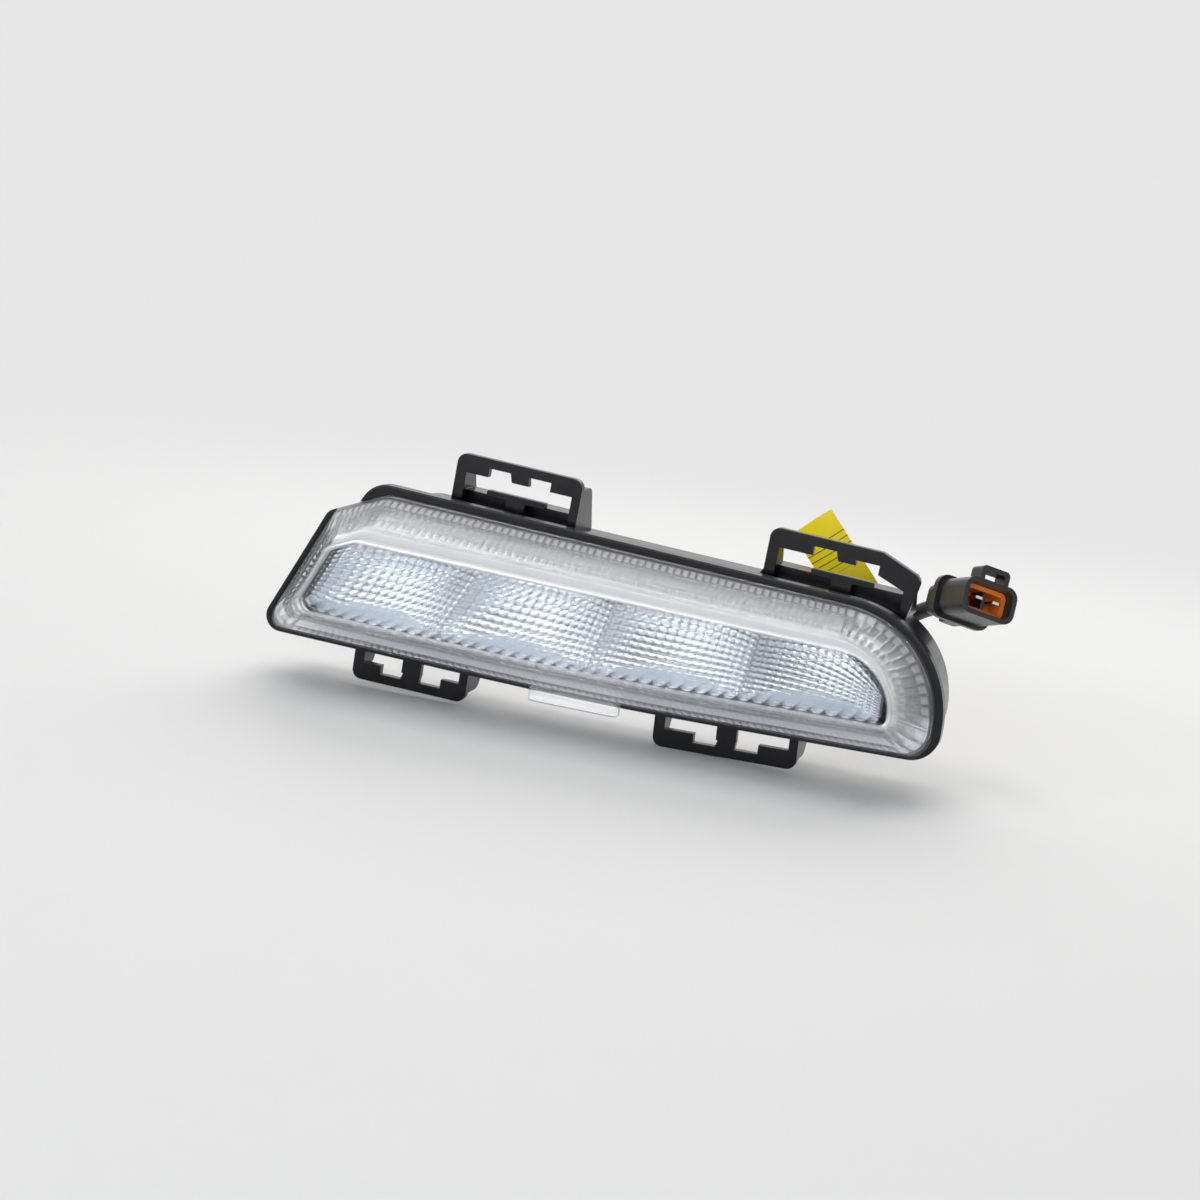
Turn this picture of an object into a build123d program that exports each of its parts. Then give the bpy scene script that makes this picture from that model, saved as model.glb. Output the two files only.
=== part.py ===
"""Daytime running light: a clear fluted lens over four faceted reflector cells, in a clip-in housing.

Frame: X runs along the lamp, light leaves towards -Y and +Z is up.  The origin is the middle of the
opening that the rim sits in, on the plane of the rim's back shoulder.  Millimetres.
"""
import os
from math import atan2, cos, pi, radians, sin, sqrt, tan

from build123d import *

# Rim outline, seen from the front
RIM_RIGHT = 108.6
RIM_LEFT = -110.0
RIM_LEFT_FOOT = -24.3
RIM_SAG = -27.7
RIM_SAG_X = 5.0
RIM_RIGHT_FOOT = -25.2
RIM_TOP_RIGHT = 17.2
RIM_TOP_SLOPE = 0.0578
LEFT_SLANT = 0.488
CORNER_FOOT = 16.3
CORNER_SLOPE = 0.434
RIM_EAR_X = -80.3
RIM_EAR_LEAN = 4.3

# Rim and body of the housing.  Lips, insets and tilts go in the order bottom left, bottom right,
# right, top, left bevel and left.
RIM_DEPTH = 4.0
LIPS = (0.8, 0.8, 2.4, 2.2, 0.0, 1.6)
RIM_EDGE_RADIUS = 0.5
TOP_TILT = 0.14
LENS_CLEARANCE = 0.2
CHANNEL_FLOOR = -1.5
LEDGE_BACK = 1.5
LEDGE_INSET = 8.2
BODY_DEPTH = 25.0
BODY_INSET = 1.6
BODY_DRAFT_INSET = 3.2
WALL = 2.2

# Lens
LENS_FRONT = -20.5
LENS_WALL = 2.2
LENS_FRONT_INSETS = (10.7, 10.7, 12.0, 9.8, 7.5, 8.5)
LENS_EDGE_RADIUS = 1.2
FLUTE_PITCH = 2.6
FLUTE_DEPTH = 0.5
SEAL_HEIGHT = 0.6
SEAL_SIDE_GAP = 0.3
TAB_X = -2.7
TAB_WIDTH = 29.0
TAB_DROP = 2.2
TAB_ROOT = 3.6
TAB_THICKNESS = 2.4

# Bezel behind the lens
BEZEL_FRONT = -13.5
BEZEL_WALL = 1.2
BEZEL_BACK_INSET = 6.0
BEZEL_FLANGE = 0.6
BEZEL_AIR = 0.5
WINDOW_INSETS = (10.7, 10.7, 15.0, 16.0, 12.0, 10.0)

# Reflector
CELL_COLUMNS = 11
CELL_ROWS = 6
FACET_HEIGHT = 0.55
REFLECTOR_SHELL = 1.8
REFLECTOR_BOTTOM_INSET = 10.9
REFLECTOR_TOP_INSET = 15.8
FLOOR_FRONT_Y = -11.0
FLOOR_SLOPE = 3.2
CORNER_START_X = -74.0
CORNER_RISE = 3.0
RIDGE_Y = -8.0
DISH_DEEPEST_Y = 4.6
DISH_DEEPEST_Z = -3.0
DISH_CURVE = 0.045
CELL_EDGES_X = (-86.0, -41.4, 4.5, 50.0, 90.5)
CELL_EDGES_SLANT = (0.488, 0.53, 0.267, 0.168, 0.0)
SWEEP_STARTS_X = (-66.0, 62.0)
SWEEP_DROPS = (5.0, 9.0)
POST_RADIUS = 2.4
POST_GAP = 0.05

# Light strip and heat sink, measured down from the rim's top edge
SINK_DROP = 10.6
SINK_PLATE = 1.6
PAD_THICKNESS = 0.4
LED_BOARD = 1.2
LED_SIZE = 3.0
LED_HEIGHT = 0.9
STRIP_LEFT_X = -66.0
STRIP_RIGHT_X = 72.0
STRIP_FRONT_Y = -6.0
STRIP_BACK_Y = 7.0
LED_Y = -2.5
LED_LEAN = 0.35
SINK_FLANGE = 1.6
SINK_FLANGE_DROP = 9.0
SINK_SCREW_X = (-52.0, 3.0, 58.0)
SINK_BOSS = 3.0
SINK_BOSS_RADIUS = 3.4

# Driver electronics on the back wall
DRIVER_X = 18.0
DRIVER_Z = -13.2
DRIVER_LENGTH = 62.0
DRIVER_HEIGHT = 13.4
DRIVER_BOARD = 1.6
DRIVER_CORNER = 1.0
DRIVER_STANDOFF = 2.4
DRIVER_STANDOFF_RADIUS = 2.6
DRIVER_HOLE_MARGIN = 3.6
COIL_RADIUS = 4.2
COIL_HEIGHT = 4.6
COIL_X = -14.0
COIL_CORNER = 1.4
COIL_CHAMFER = 0.5
CAPACITOR_RADIUS = 2.9
CAPACITOR_HEIGHT = 6.0
CAPACITOR_SPACING = 7.4
CAPACITOR_EDGE = 0.5
CHIP_LENGTH = 6.2
CHIP_WIDTH = 4.8
CHIP_HEIGHT = 1.7
CHIP_SPACING = 8.4
CHIP_X = 12.0

# Screws
SCREW_RADIUS = 1.1
SCREW_CLEARANCE = 0.1
SCREW_HEAD_RADIUS = 2.1
SCREW_HEAD = 1.4
SCREW_GRIP = 3.6
SCREW_DRIVE = 0.8
SCREW_DRIVE_WIDTH = 0.55

# Breather on the back
BREATHER_X = -42.0
BREATHER_Z = -4.0
BREATHER_HOLE = 3.0
BREATHER_BOSS = 5.2
BREATHER_BOSS_HEIGHT = 3.0
CAP_RADIUS = 6.8
CAP_HEIGHT = 4.4
CAP_WALL = 1.1
CAP_EDGE = 0.55
CAP_SLOT = 1.1
CAP_SLOT_DEPTH = 1.5
MEMBRANE = 0.4

# Clip loops along the edges
LOOP_Y = 5.0
LOOP_PLATE = 2.6
LOOP_ROOT = 4.5
LOOP_HEIGHT_TOP = 13.8
LOOP_HEIGHT_BOTTOM = 11.2
LOOP_BAR = 2.9
LOOP_STEP = 2.8
LOOP_LEG_LEFT = 3.4
LOOP_LEG_RIGHT = 2.8
LOOP_NOTCH = 7.0
LOOP_TOOTH = 6.4
LOOP_TOOTH_SLOPE = 0.9
LOOP_CORNER = 3.0
FAR_LEAN = 0.5
FAR_STEP = 0.25
GUSSET_WALL = 2.2
GUSSET_TIP_DEPTH = 10.5
GUSSET_ROOT_DEPTH = 19.0
GUSSET_CORNER = 4.0
GUSSET_EDGE = 0.5
SADDLE_LEAD = 3.5
SADDLE_RISE = 2.0
SADDLE_Y = 10.5
SADDLE_DEPTH = 8.5
TONGUE_STEM = 6.3
TONGUE_HEAD = 19.2
TONGUE_HEAD_TOP = 4.3
TONGUE_HEAD_HEIGHT = 2.0
TONGUE_HEAD_RADIUS = 0.4
TONGUE_PLATE = 2.4
STUB_TOP = 6.2

# Lead and grommet
CABLE_RADIUS = 2.5
GROMMET_X = 68.0
GROMMET_Z = -10.0
GROMMET_COLLAR_RADIUS = 5.0
GROMMET_COLLAR = 2.0
GROMMET_TIP_RADIUS = 3.7
GROMMET_TAIL = 6.5
GROMMET_NECK_RADIUS = 3.6
GROMMET_INNER = 1.4
GROMMET_FIT = 0.1
BORE_GAP = 0.05
CABLE_START = 0.5
CABLE_RUNS = (16.0, 18.5, 17.5, 15.0)
CABLE_TURNS = (0.0, 45.0, 90.0, 137.7)
CABLE_LEANS = ((0.66, 0.75), (0.66, 0.75), (0.78, 0.63), (0.917, 0.40))
CORNER_SHARE = 0.45
WIRE_RADIUS = 0.55
WIRE_SPREAD = 1.2
WIRE_LAND = 1.0
LINK_GAP = 0.8
LINK_WIDTH = 5.0
LINK_THICKNESS = 0.4
LINK_BEND = 2.0
LINK_LAND = 4.0
LINK_RISE = 6.0
LINK_LEAD = 2.0

# Connector on the lead's end
CONNECTOR_ACROSS = (0.79, 0.57, -0.24)
SHROUD_WIDTH = 18.5
SHROUD_HEIGHT = 11.5
SHROUD_RADIUS = 3.6
SHROUD_WALL = 1.5
SHROUD_LENGTH = 17.0
SHROUD_POCKET = 12.5
NECK_WIDTH = 14.5
NECK_HEIGHT = 9.5
NECK_RADIUS = 2.6
NECK_LENGTH = 8.0
COLLAR_GROWTH = 1.0
COLLAR_LENGTH = 2.2
BRIDGE_WIDTH = 10.0
BRIDGE_HEIGHT = 4.2
BRIDGE_WALL = 1.5
BRIDGE_LENGTH = 6.0
LUG_WIDTH = 6.0
LUG_HEIGHT = 1.8
LUG_LENGTH = 5.0
LUG_CORNER = 0.6
RETAINER_FIT = 0.1
RETAINER_WALL = 1.5
RETAINER_BASE = 2.0
RETAINER_HEIGHT = 8.5
PIN_SPACING = 6.0
PIN_WIDTH = 2.3
PIN_THICKNESS = 0.8
PIN_LENGTH = 11.0
PIN_ROOT = 3.0
RIB_WALL = 1.1
CONNECTOR_SEAL = 3.0
CONNECTOR_SEAL_PROUD = 1.0
CONNECTOR_SEAL_INNER = 4.0
CONNECTOR_SEAL_RADIUS = 3.9

# Yellow flag on the lead
LABEL_CORNER = 1
LABEL_LENGTH = 39.0
LABEL_THICKNESS = 0.5
LABEL_COLLAR = 0.5
LABEL_GAP = 0.05
LABEL_REACH = (-0.68, 0.10, 0.73)

# Corner radii, in the order left foot, sag, right foot, right shoulder, left shoulder, left corner
SAG_RADIUS = 1500.0
HULL_RADII = (5.0, SAG_RADIUS, 9.0, 33.0, 9.0, 4.0)
LENS_FOOT_RADII = (4.0, SAG_RADIUS, 6.5, 30.5, 9.0, 4.0)
LENS_FRONT_RADII = (4.0, SAG_RADIUS, 4.0, 24.0, 6.0, 4.0)
WINDOW_RADII = (3.0, SAG_RADIUS, 3.0, 20.0, 5.0, 4.0)
RIM_EAR_RADII = (9.0, 1.2)
SIDE_TILTS = (0.0, 0.0, 0.0, TOP_TILT, 0.0, 0.0)
SIDE_SHARE = 0.97

os.makedirs("parts", exist_ok=True)


def at(y):
    """Plane square to the light, seen from the front, at a place along Y."""
    return Plane.XZ.offset(-y)


def top_edge_z(x):
    """Height of the rim's straight top edge."""
    return RIM_TOP_RIGHT + RIM_TOP_SLOPE * (RIM_RIGHT - x)


def meet(point_a, slope_a, point_b, slope_b):
    """Crossing of two sloped lines."""
    x = (point_b[1] - point_a[1] + slope_a * point_a[0] - slope_b * point_b[0]) / (slope_a - slope_b)
    return x, point_a[1] + slope_a * (x - point_a[0])


LEFT_CORNER = (RIM_LEFT + LEFT_SLANT * (CORNER_FOOT - RIM_LEFT_FOOT), CORNER_FOOT)
LEFT_SHOULDER = meet(LEFT_CORNER, CORNER_SLOPE, (RIM_RIGHT, RIM_TOP_RIGHT), -RIM_TOP_SLOPE)
HULL = (
    (RIM_LEFT, RIM_LEFT_FOOT),
    (RIM_SAG_X, RIM_SAG),
    (RIM_RIGHT, RIM_RIGHT_FOOT),
    (RIM_RIGHT, RIM_TOP_RIGHT),
    LEFT_SHOULDER,
    LEFT_CORNER,
)
RIM_EAR = (
    (RIM_EAR_X + RIM_EAR_LEAN, top_edge_z(RIM_EAR_X + RIM_EAR_LEAN)),
    (RIM_EAR_X, CORNER_FOOT + CORNER_SLOPE * (RIM_EAR_X - LEFT_CORNER[0])),
)


def inset_corners(insets):
    """Corners of the hull outline after each of its sides moves inwards by its own inset.
    A tilted side moves less at its start and more at its end."""
    sides = []
    for (x0, z0), (x1, z1), inset, tilt in zip(HULL, HULL[1:] + HULL[:1], insets, SIDE_TILTS):
        run = sqrt((x1 - x0) ** 2 + (z1 - z0) ** 2)
        across = (-(z1 - z0) / run, (x1 - x0) / run)
        first, last = inset * (1 - tilt), inset * (1 + tilt)
        heading = (x1 - x0 + (last - first) * across[0], z1 - z0 + (last - first) * across[1])
        sides.append(((x0 + first * across[0], z0 + first * across[1]), heading))
    corners = []
    for ((ax, az), (adx, adz)), ((bx, bz), (bdx, bdz)) in zip(sides[-1:] + sides[:-1], sides):
        share = ((bx - ax) * bdz - (bz - az) * bdx) / (adx * bdz - adz * bdx)
        corners.append((ax + share * adx, az + share * adz))
    return corners


def side_between(corner, other):
    """Length and heading of the side from one corner to another."""
    run, rise = other[0] - corner[0], other[1] - corner[1]
    return sqrt(run * run + rise * rise), atan2(rise, run)


def fitted_radii(corners, radii):
    """Corner radii, made smaller where two rounded corners would not fit on their shared side."""
    sides = [side_between(a, b) for a, b in zip(corners, corners[1:] + corners[:1])]
    turns = [(out[1] - into[1] + pi) % (2 * pi) - pi for into, out in zip(sides[-1:] + sides[:-1], sides)]
    reach = [radius * abs(tan(turn / 2)) for radius, turn in zip(radii, turns)]
    next_reach = reach[1:] + reach[:1]
    spare = [min(1.0, SIDE_SHARE * side[0] / (a + b)) for side, a, b in zip(sides, reach, next_reach)]
    return [radius * min(pair) for radius, pair in zip(radii, zip(spare[-1:] + spare[:-1], spare))]


def even(inset):
    """The same inset on all sides of the hull."""
    return [inset] * len(HULL)


def grown(insets, step):
    """Insets that are all larger by one step."""
    return [inset + step for inset in insets]


def outline(y, insets, radii):
    """Sketch of the hull outline on the plane at y, moved inwards by the insets."""
    corners = inset_corners(insets)
    with BuildSketch(at(y)) as face:
        with BuildLine():
            FilletPolyline(*corners, radius=fitted_radii(corners, radii), close=True)
        make_face()
    return face.sketch


LENS_FOOT_INSETS = [lip + LENS_CLEARANCE if lip else 0.0 for lip in LIPS]


def between(first, last, share):
    """Values part of the way from one list to another."""
    return [a + (b - a) * share for a, b in zip(first, last)]


def lens_share(y):
    """Share of the way from the foot of the lens wall to its front."""
    return max(0.0, (y + RIM_DEPTH) / (LENS_FRONT + RIM_DEPTH))


def lens_insets(y):
    """Insets of the lens wall's outside at a place along Y."""
    return between(LENS_FOOT_INSETS, LENS_FRONT_INSETS, lens_share(y))


def lens_radii(y):
    """Corner radii of the lens wall at a place along Y."""
    return between(LENS_FOOT_RADII, LENS_FRONT_RADII, lens_share(y))


# Housing and its clip loops: rim, bowl, channel for the lens, bosses and holes


def loop_plane(x, below):
    """Plane of a clip loop: its first direction follows the edge and its second one leaves the body."""
    if below:
        slope = (RIM_SAG - RIM_LEFT_FOOT) / (RIM_SAG_X - RIM_LEFT)
        start = RIM_LEFT_FOOT + slope * (x - RIM_LEFT)
        if x > RIM_SAG_X:
            slope = (RIM_RIGHT_FOOT - RIM_SAG) / (RIM_RIGHT - RIM_SAG_X)
            start = RIM_SAG + slope * (x - RIM_SAG_X)
        return Plane((x, LOOP_Y, start), x_dir=(1, 0, slope), z_dir=(0, 1, 0))
    return Plane((x, LOOP_Y, top_edge_z(x)), x_dir=(1, 0, -RIM_TOP_SLOPE), z_dir=(0, -1, 0))


def loop_window(width, height, far_drop):
    """Corners of the stepped window between the legs of a clip loop."""
    step = height - LOOP_BAR - LOOP_STEP
    deep = height - LOOP_BAR
    free = width - LOOP_LEG_LEFT - LOOP_LEG_RIGHT - 2 * LOOP_NOTCH - LOOP_TOOTH
    shoulder = LOOP_LEG_LEFT + free / 2
    tooth = shoulder + LOOP_NOTCH
    second = tooth + LOOP_TOOTH
    last = second + LOOP_NOTCH
    return (
        (LOOP_LEG_LEFT, -LOOP_ROOT),
        (LOOP_LEG_LEFT, step),
        (shoulder, step),
        (shoulder, deep),
        (tooth, deep),
        (tooth + LOOP_TOOTH_SLOPE, step),
        (second, step),
        (second - LOOP_TOOTH_SLOPE / 2, deep - far_drop * FAR_STEP),
        (last, deep - far_drop * FAR_STEP),
        (last, step - far_drop * FAR_STEP),
        (width - LOOP_LEG_RIGHT, step - far_drop),
        (width - LOOP_LEG_RIGHT - far_drop * FAR_LEAN, -LOOP_ROOT),
    )


def clip_loop(x, width, height, below=False, far_drop=0.0, headed=True):
    """One clip loop with its stepped window, side gussets and spring tongue.  A headed tongue also has
    a raised saddle behind it."""
    plane = loop_plane(x, below)
    along, away = plane.x_dir, plane.y_dir
    reach = width - far_drop * FAR_LEAN
    rounded = [(0, height), (width, height - far_drop)]
    if far_drop:
        rounded.insert(1, (width - 2 * far_drop - LOOP_CORNER, height))
    with BuildSketch(plane) as plate:
        with BuildLine():
            FilletPolyline(
                (0, -LOOP_ROOT),
                *rounded,
                (reach, -LOOP_ROOT),
                radius=(0, *[LOOP_CORNER] * len(rounded), 0),
                close=True,
            )
        make_face()
        with BuildLine():
            Polyline(*loop_window(width, height, far_drop), close=True)
        make_face(mode=Mode.SUBTRACT)
    extrude(plate.sketch, amount=LOOP_PLATE, dir=(0, 1, 0))
    for start, tip in ((0.0, height), (reach - GUSSET_WALL, height - far_drop)):
        side = Plane(plane.origin + along * start, x_dir=(0, 1, 0), z_dir=Vector(0, 1, 0).cross(away))
        with BuildSketch(side) as gusset:
            with BuildLine():
                FilletPolyline(
                    (0, -LOOP_ROOT),
                    (0, tip - LOOP_CORNER),
                    (GUSSET_TIP_DEPTH, tip - LOOP_CORNER),
                    (GUSSET_ROOT_DEPTH, -LOOP_ROOT),
                    radius=(0, GUSSET_EDGE, GUSSET_CORNER, 0),
                    close=True,
                )
            make_face()
        extrude(gusset.sketch, amount=GUSSET_WALL, dir=along)
    middle = LOOP_LEG_LEFT + (width - LOOP_LEG_LEFT - LOOP_LEG_RIGHT) / 2
    tall = TONGUE_HEAD_TOP if headed else STUB_TOP
    tongue = Plane(plane.origin + along * middle, x_dir=along, z_dir=plane.z_dir)
    with BuildSketch(tongue) as spring:
        with Locations((0, (tall - LOOP_ROOT) / 2)):
            Rectangle(TONGUE_STEM, tall + LOOP_ROOT)
        if headed:
            with Locations((0, TONGUE_HEAD_TOP - TONGUE_HEAD_HEIGHT / 2)):
                RectangleRounded(TONGUE_HEAD, TONGUE_HEAD_HEIGHT, TONGUE_HEAD_RADIUS)
    extrude(spring.sketch, amount=TONGUE_PLATE, dir=(0, 1, 0))
    if headed:
        behind = Plane(plane.origin + Vector(0, SADDLE_Y - LOOP_Y, 0), x_dir=along, z_dir=plane.z_dir)
        with BuildSketch(behind) as saddle:
            with BuildLine():
                Polyline(
                    (-SADDLE_LEAD, -LOOP_ROOT),
                    (0, SADDLE_RISE),
                    (reach, SADDLE_RISE),
                    (reach, -LOOP_ROOT),
                    close=True,
                )
            make_face()
        extrude(saddle.sketch, amount=SADDLE_DEPTH, dir=(0, 1, 0))


LOOPS = (
    (-53.6, 41.0, LOOP_HEIGHT_TOP, False, 0.0, True),
    (47.2, 47.2, LOOP_HEIGHT_TOP, False, 5.0, True),
    (-79.2, 38.4, LOOP_HEIGHT_BOTTOM, True, 0.0, False),
    (20.4, 45.2, LOOP_HEIGHT_BOTTOM, True, 0.0, False),
)

BACK = BODY_DEPTH - WALL
HOLE_REACH_X = DRIVER_LENGTH / 2 - DRIVER_HOLE_MARGIN
HOLE_REACH_Z = DRIVER_HEIGHT / 2 - DRIVER_HOLE_MARGIN
DRIVER_HOLES = [(DRIVER_X + i * HOLE_REACH_X, DRIVER_Z - i * HOLE_REACH_Z) for i in (-1, 1)]
SINK_SCREW_DROP = SINK_DROP + SINK_PLATE + (SINK_FLANGE_DROP - SINK_PLATE) / 2
SINK_HOLES = [(x, top_edge_z(x) - SINK_SCREW_DROP) for x in SINK_SCREW_X]
POST_PLACES = [
    ((xa + xb) / 2 + DISH_DEEPEST_Z * (sa + sb) / 2, DISH_DEEPEST_Z)
    for xa, xb, sa, sb in zip(CELL_EDGES_X, CELL_EDGES_X[1:], CELL_EDGES_SLANT, CELL_EDGES_SLANT[1:])
]
HOLE_RADIUS = SCREW_RADIUS + SCREW_CLEARANCE

RIM_CORNERS = [*HULL[:4], *RIM_EAR, LEFT_CORNER]
RIM_RADII = [*HULL_RADII[:4], *RIM_EAR_RADII, HULL_RADII[-1]]

with BuildPart() as moulding:
    with BuildSketch(at(0)):
        with BuildLine():
            FilletPolyline(*RIM_CORNERS, radius=fitted_radii(RIM_CORNERS, RIM_RADII), close=True)
        make_face()
    extrude(amount=RIM_DEPTH)
    fillet(faces().sort_by(Axis.Y)[0].edges(), RIM_EDGE_RADIUS)
    loft(
        [outline(0, even(BODY_INSET), HULL_RADII), outline(BODY_DEPTH, even(BODY_DRAFT_INSET), HULL_RADII)],
        ruled=True,
    )

with BuildPart() as clip_loops:
    for loop in LOOPS:
        clip_loop(*loop)
    add(moulding.part, mode=Mode.SUBTRACT)
clip_loops.part.label = "clip_loops"
export_step(clip_loops.part, "parts/clip_loops.step")

with BuildPart() as housing:
    add(moulding.part)
    bowl_mouth = outline(LEDGE_BACK, even(BODY_INSET + WALL), HULL_RADII)
    bowl_floor = outline(BACK, even(BODY_DRAFT_INSET + WALL), HULL_RADII)
    loft([bowl_mouth, bowl_floor], ruled=True, mode=Mode.SUBTRACT)
    ledge = outline(LEDGE_BACK, even(LEDGE_INSET), LENS_FOOT_RADII)
    extrude(ledge, amount=LEDGE_BACK + RIM_DEPTH, mode=Mode.SUBTRACT)
    channel = outline(CHANNEL_FLOOR, grown(LENS_FOOT_INSETS, -LENS_CLEARANCE), LENS_FOOT_RADII)
    extrude(channel, amount=RIM_DEPTH + CHANNEL_FLOOR, mode=Mode.SUBTRACT)
    with BuildSketch(at(BACK)):
        with Locations(*SINK_HOLES):
            Circle(SINK_BOSS_RADIUS)
    extrude(amount=SINK_BOSS)
    with BuildSketch(at(BACK)):
        with Locations(*DRIVER_HOLES):
            Circle(DRIVER_STANDOFF_RADIUS)
    extrude(amount=DRIVER_STANDOFF)
    with BuildSketch(at(BACK)):
        with Locations(*POST_PLACES):
            Circle(POST_RADIUS)
    extrude(amount=BACK - DISH_DEEPEST_Y - REFLECTOR_SHELL - POST_GAP)
    with BuildSketch(at(BODY_DEPTH)):
        with Locations((BREATHER_X, BREATHER_Z)):
            Circle(BREATHER_BOSS)
    extrude(amount=-BREATHER_BOSS_HEIGHT)
    with BuildSketch(at(BACK - SINK_BOSS)):
        with Locations(*SINK_HOLES):
            Circle(HOLE_RADIUS)
    extrude(amount=-SCREW_GRIP, mode=Mode.SUBTRACT)
    with BuildSketch(at(BACK - DRIVER_STANDOFF)):
        with Locations(*DRIVER_HOLES):
            Circle(HOLE_RADIUS)
    extrude(amount=-SCREW_GRIP, mode=Mode.SUBTRACT)
    with BuildSketch(at(BACK)):
        with Locations((BREATHER_X, BREATHER_Z)):
            Circle(BREATHER_HOLE)
        with Locations((GROMMET_X, GROMMET_Z)):
            Circle(GROMMET_NECK_RADIUS + GROMMET_FIT)
    extrude(amount=-(WALL + BREATHER_BOSS_HEIGHT), mode=Mode.SUBTRACT)
housing.part.label = "housing"
export_step(housing.part, "parts/housing.step")


# Lens: a clear bevelled cover whose wall is fluted on the inside

LENS_FOOT_Y = CHANNEL_FLOOR - SEAL_HEIGHT
LENS_INSIDE_Y = LENS_FRONT + LENS_WALL


def rounded_runs(corners, radii):
    """Straight run and following corner of each side: start, heading, length, radius and turn."""
    sides = [side_between(a, b) for a, b in zip(corners, corners[1:] + corners[:1])]
    runs = []
    for i, (length, heading) in enumerate(sides):
        into = sides[i - 1][1]
        following = sides[(i + 1) % len(sides)][1]
        turn_before = (heading - into + pi) % (2 * pi) - pi
        turn = (following - heading + pi) % (2 * pi) - pi
        radius = radii[(i + 1) % len(sides)]
        before = radii[i] * tan(turn_before / 2)
        start = (corners[i][0] + before * cos(heading), corners[i][1] + before * sin(heading))
        runs.append((start, heading, length - before - radius * tan(turn / 2), radius, turn))
    return runs


def flute_counts(runs):
    """Number of flutes on each straight run and on each corner."""
    return [
        (max(1, round(length / FLUTE_PITCH)), max(1, round(radius * turn / FLUTE_PITCH)))
        for start, heading, length, radius, turn in runs
    ]


def fluted_outline(y, insets, radii, counts):
    """Sketch on the plane at y of an outline that zigzags inwards by the flute depth."""
    corners = inset_corners(insets)
    points = []
    for run, (flutes, corner_flutes) in zip(rounded_runs(corners, fitted_radii(corners, radii)), counts):
        (x, z), heading, length, radius, turn = run
        for k in range(2 * flutes):
            along = length * k / (2 * flutes)
            inwards = FLUTE_DEPTH * (k % 2)
            point_x = x + along * cos(heading) - inwards * sin(heading)
            points.append((point_x, z + along * sin(heading) + inwards * cos(heading)))
        middle_x = x + length * cos(heading) - radius * sin(heading)
        middle_z = z + length * sin(heading) + radius * cos(heading)
        for k in range(2 * corner_flutes):
            angle = heading + turn * k / (2 * corner_flutes)
            reach = radius - FLUTE_DEPTH * (k % 2)
            points.append((middle_x + reach * sin(angle), middle_z - reach * cos(angle)))
    with BuildSketch(at(y)) as face:
        with BuildLine():
            Polyline(*points, close=True)
        make_face()
    return face.sketch


WALL_FOOT = grown(lens_insets(-RIM_DEPTH), LENS_WALL)
WALL_TOP = grown(lens_insets(LENS_INSIDE_Y), LENS_WALL)
FOOT_CORNERS = inset_corners(WALL_FOOT)
FLUTES = flute_counts(rounded_runs(FOOT_CORNERS, fitted_radii(FOOT_CORNERS, LENS_FOOT_RADII)))

with BuildPart() as outer_lens:
    extrude(outline(LENS_FOOT_Y, LENS_FOOT_INSETS, LENS_FOOT_RADII), amount=RIM_DEPTH + LENS_FOOT_Y)
    lens_root = outline(-RIM_DEPTH, LENS_FOOT_INSETS, LENS_FOOT_RADII)
    lens_face = outline(LENS_FRONT, LENS_FRONT_INSETS, LENS_FRONT_RADII)
    loft([lens_root, lens_face], ruled=True)
    fillet(faces().sort_by(Axis.Y)[0].edges(), LENS_EDGE_RADIUS)
    with BuildSketch(at(-RIM_DEPTH)):
        with Locations((TAB_X, RIM_SAG + (TAB_ROOT - TAB_DROP) / 2)):
            RectangleRounded(TAB_WIDTH, TAB_ROOT + TAB_DROP, LENS_EDGE_RADIUS)
    extrude(amount=TAB_THICKNESS)
    foot_inside = outline(LENS_FOOT_Y, WALL_FOOT, LENS_FOOT_RADII)
    extrude(foot_inside, amount=RIM_DEPTH + LENS_FOOT_Y, mode=Mode.SUBTRACT)
    wall_root = fluted_outline(-RIM_DEPTH, WALL_FOOT, LENS_FOOT_RADII, FLUTES)
    wall_end = fluted_outline(LENS_INSIDE_Y, WALL_TOP, lens_radii(LENS_INSIDE_Y), FLUTES)
    loft([wall_root, wall_end], ruled=True, mode=Mode.SUBTRACT)
outer_lens.part.label = "outer_lens"
export_step(outer_lens.part, "parts/outer_lens.step")

with BuildPart() as lens_seal:
    seal_outside = outline(CHANNEL_FLOOR, grown(LENS_FOOT_INSETS, SEAL_SIDE_GAP), LENS_FOOT_RADII)
    extrude(seal_outside, amount=SEAL_HEIGHT)
    seal_inside = outline(CHANNEL_FLOOR, grown(WALL_FOOT, -SEAL_SIDE_GAP), LENS_FOOT_RADII)
    extrude(seal_inside, amount=SEAL_HEIGHT, mode=Mode.SUBTRACT)
lens_seal.part.label = "lens_seal"
export_step(lens_seal.part, "parts/lens_seal.step")


# Bezel: a flange inside the lens's foot, the bright skirt behind the flutes and one window

BEZEL_FRONT_INSETS = grown(lens_insets(BEZEL_FRONT), LENS_WALL + FLUTE_DEPTH + BEZEL_AIR)
BEZEL_BACK_INSETS = even(BEZEL_BACK_INSET)
BEZEL_INSIDE_Y = BEZEL_FRONT + BEZEL_WALL
INSIDE_SHARE = (BEZEL_INSIDE_Y - CHANNEL_FLOOR) / (BEZEL_FRONT - CHANNEL_FLOOR)
BEZEL_INSIDE_INSETS = grown(between(BEZEL_BACK_INSETS, BEZEL_FRONT_INSETS, INSIDE_SHARE), BEZEL_WALL)

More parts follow.
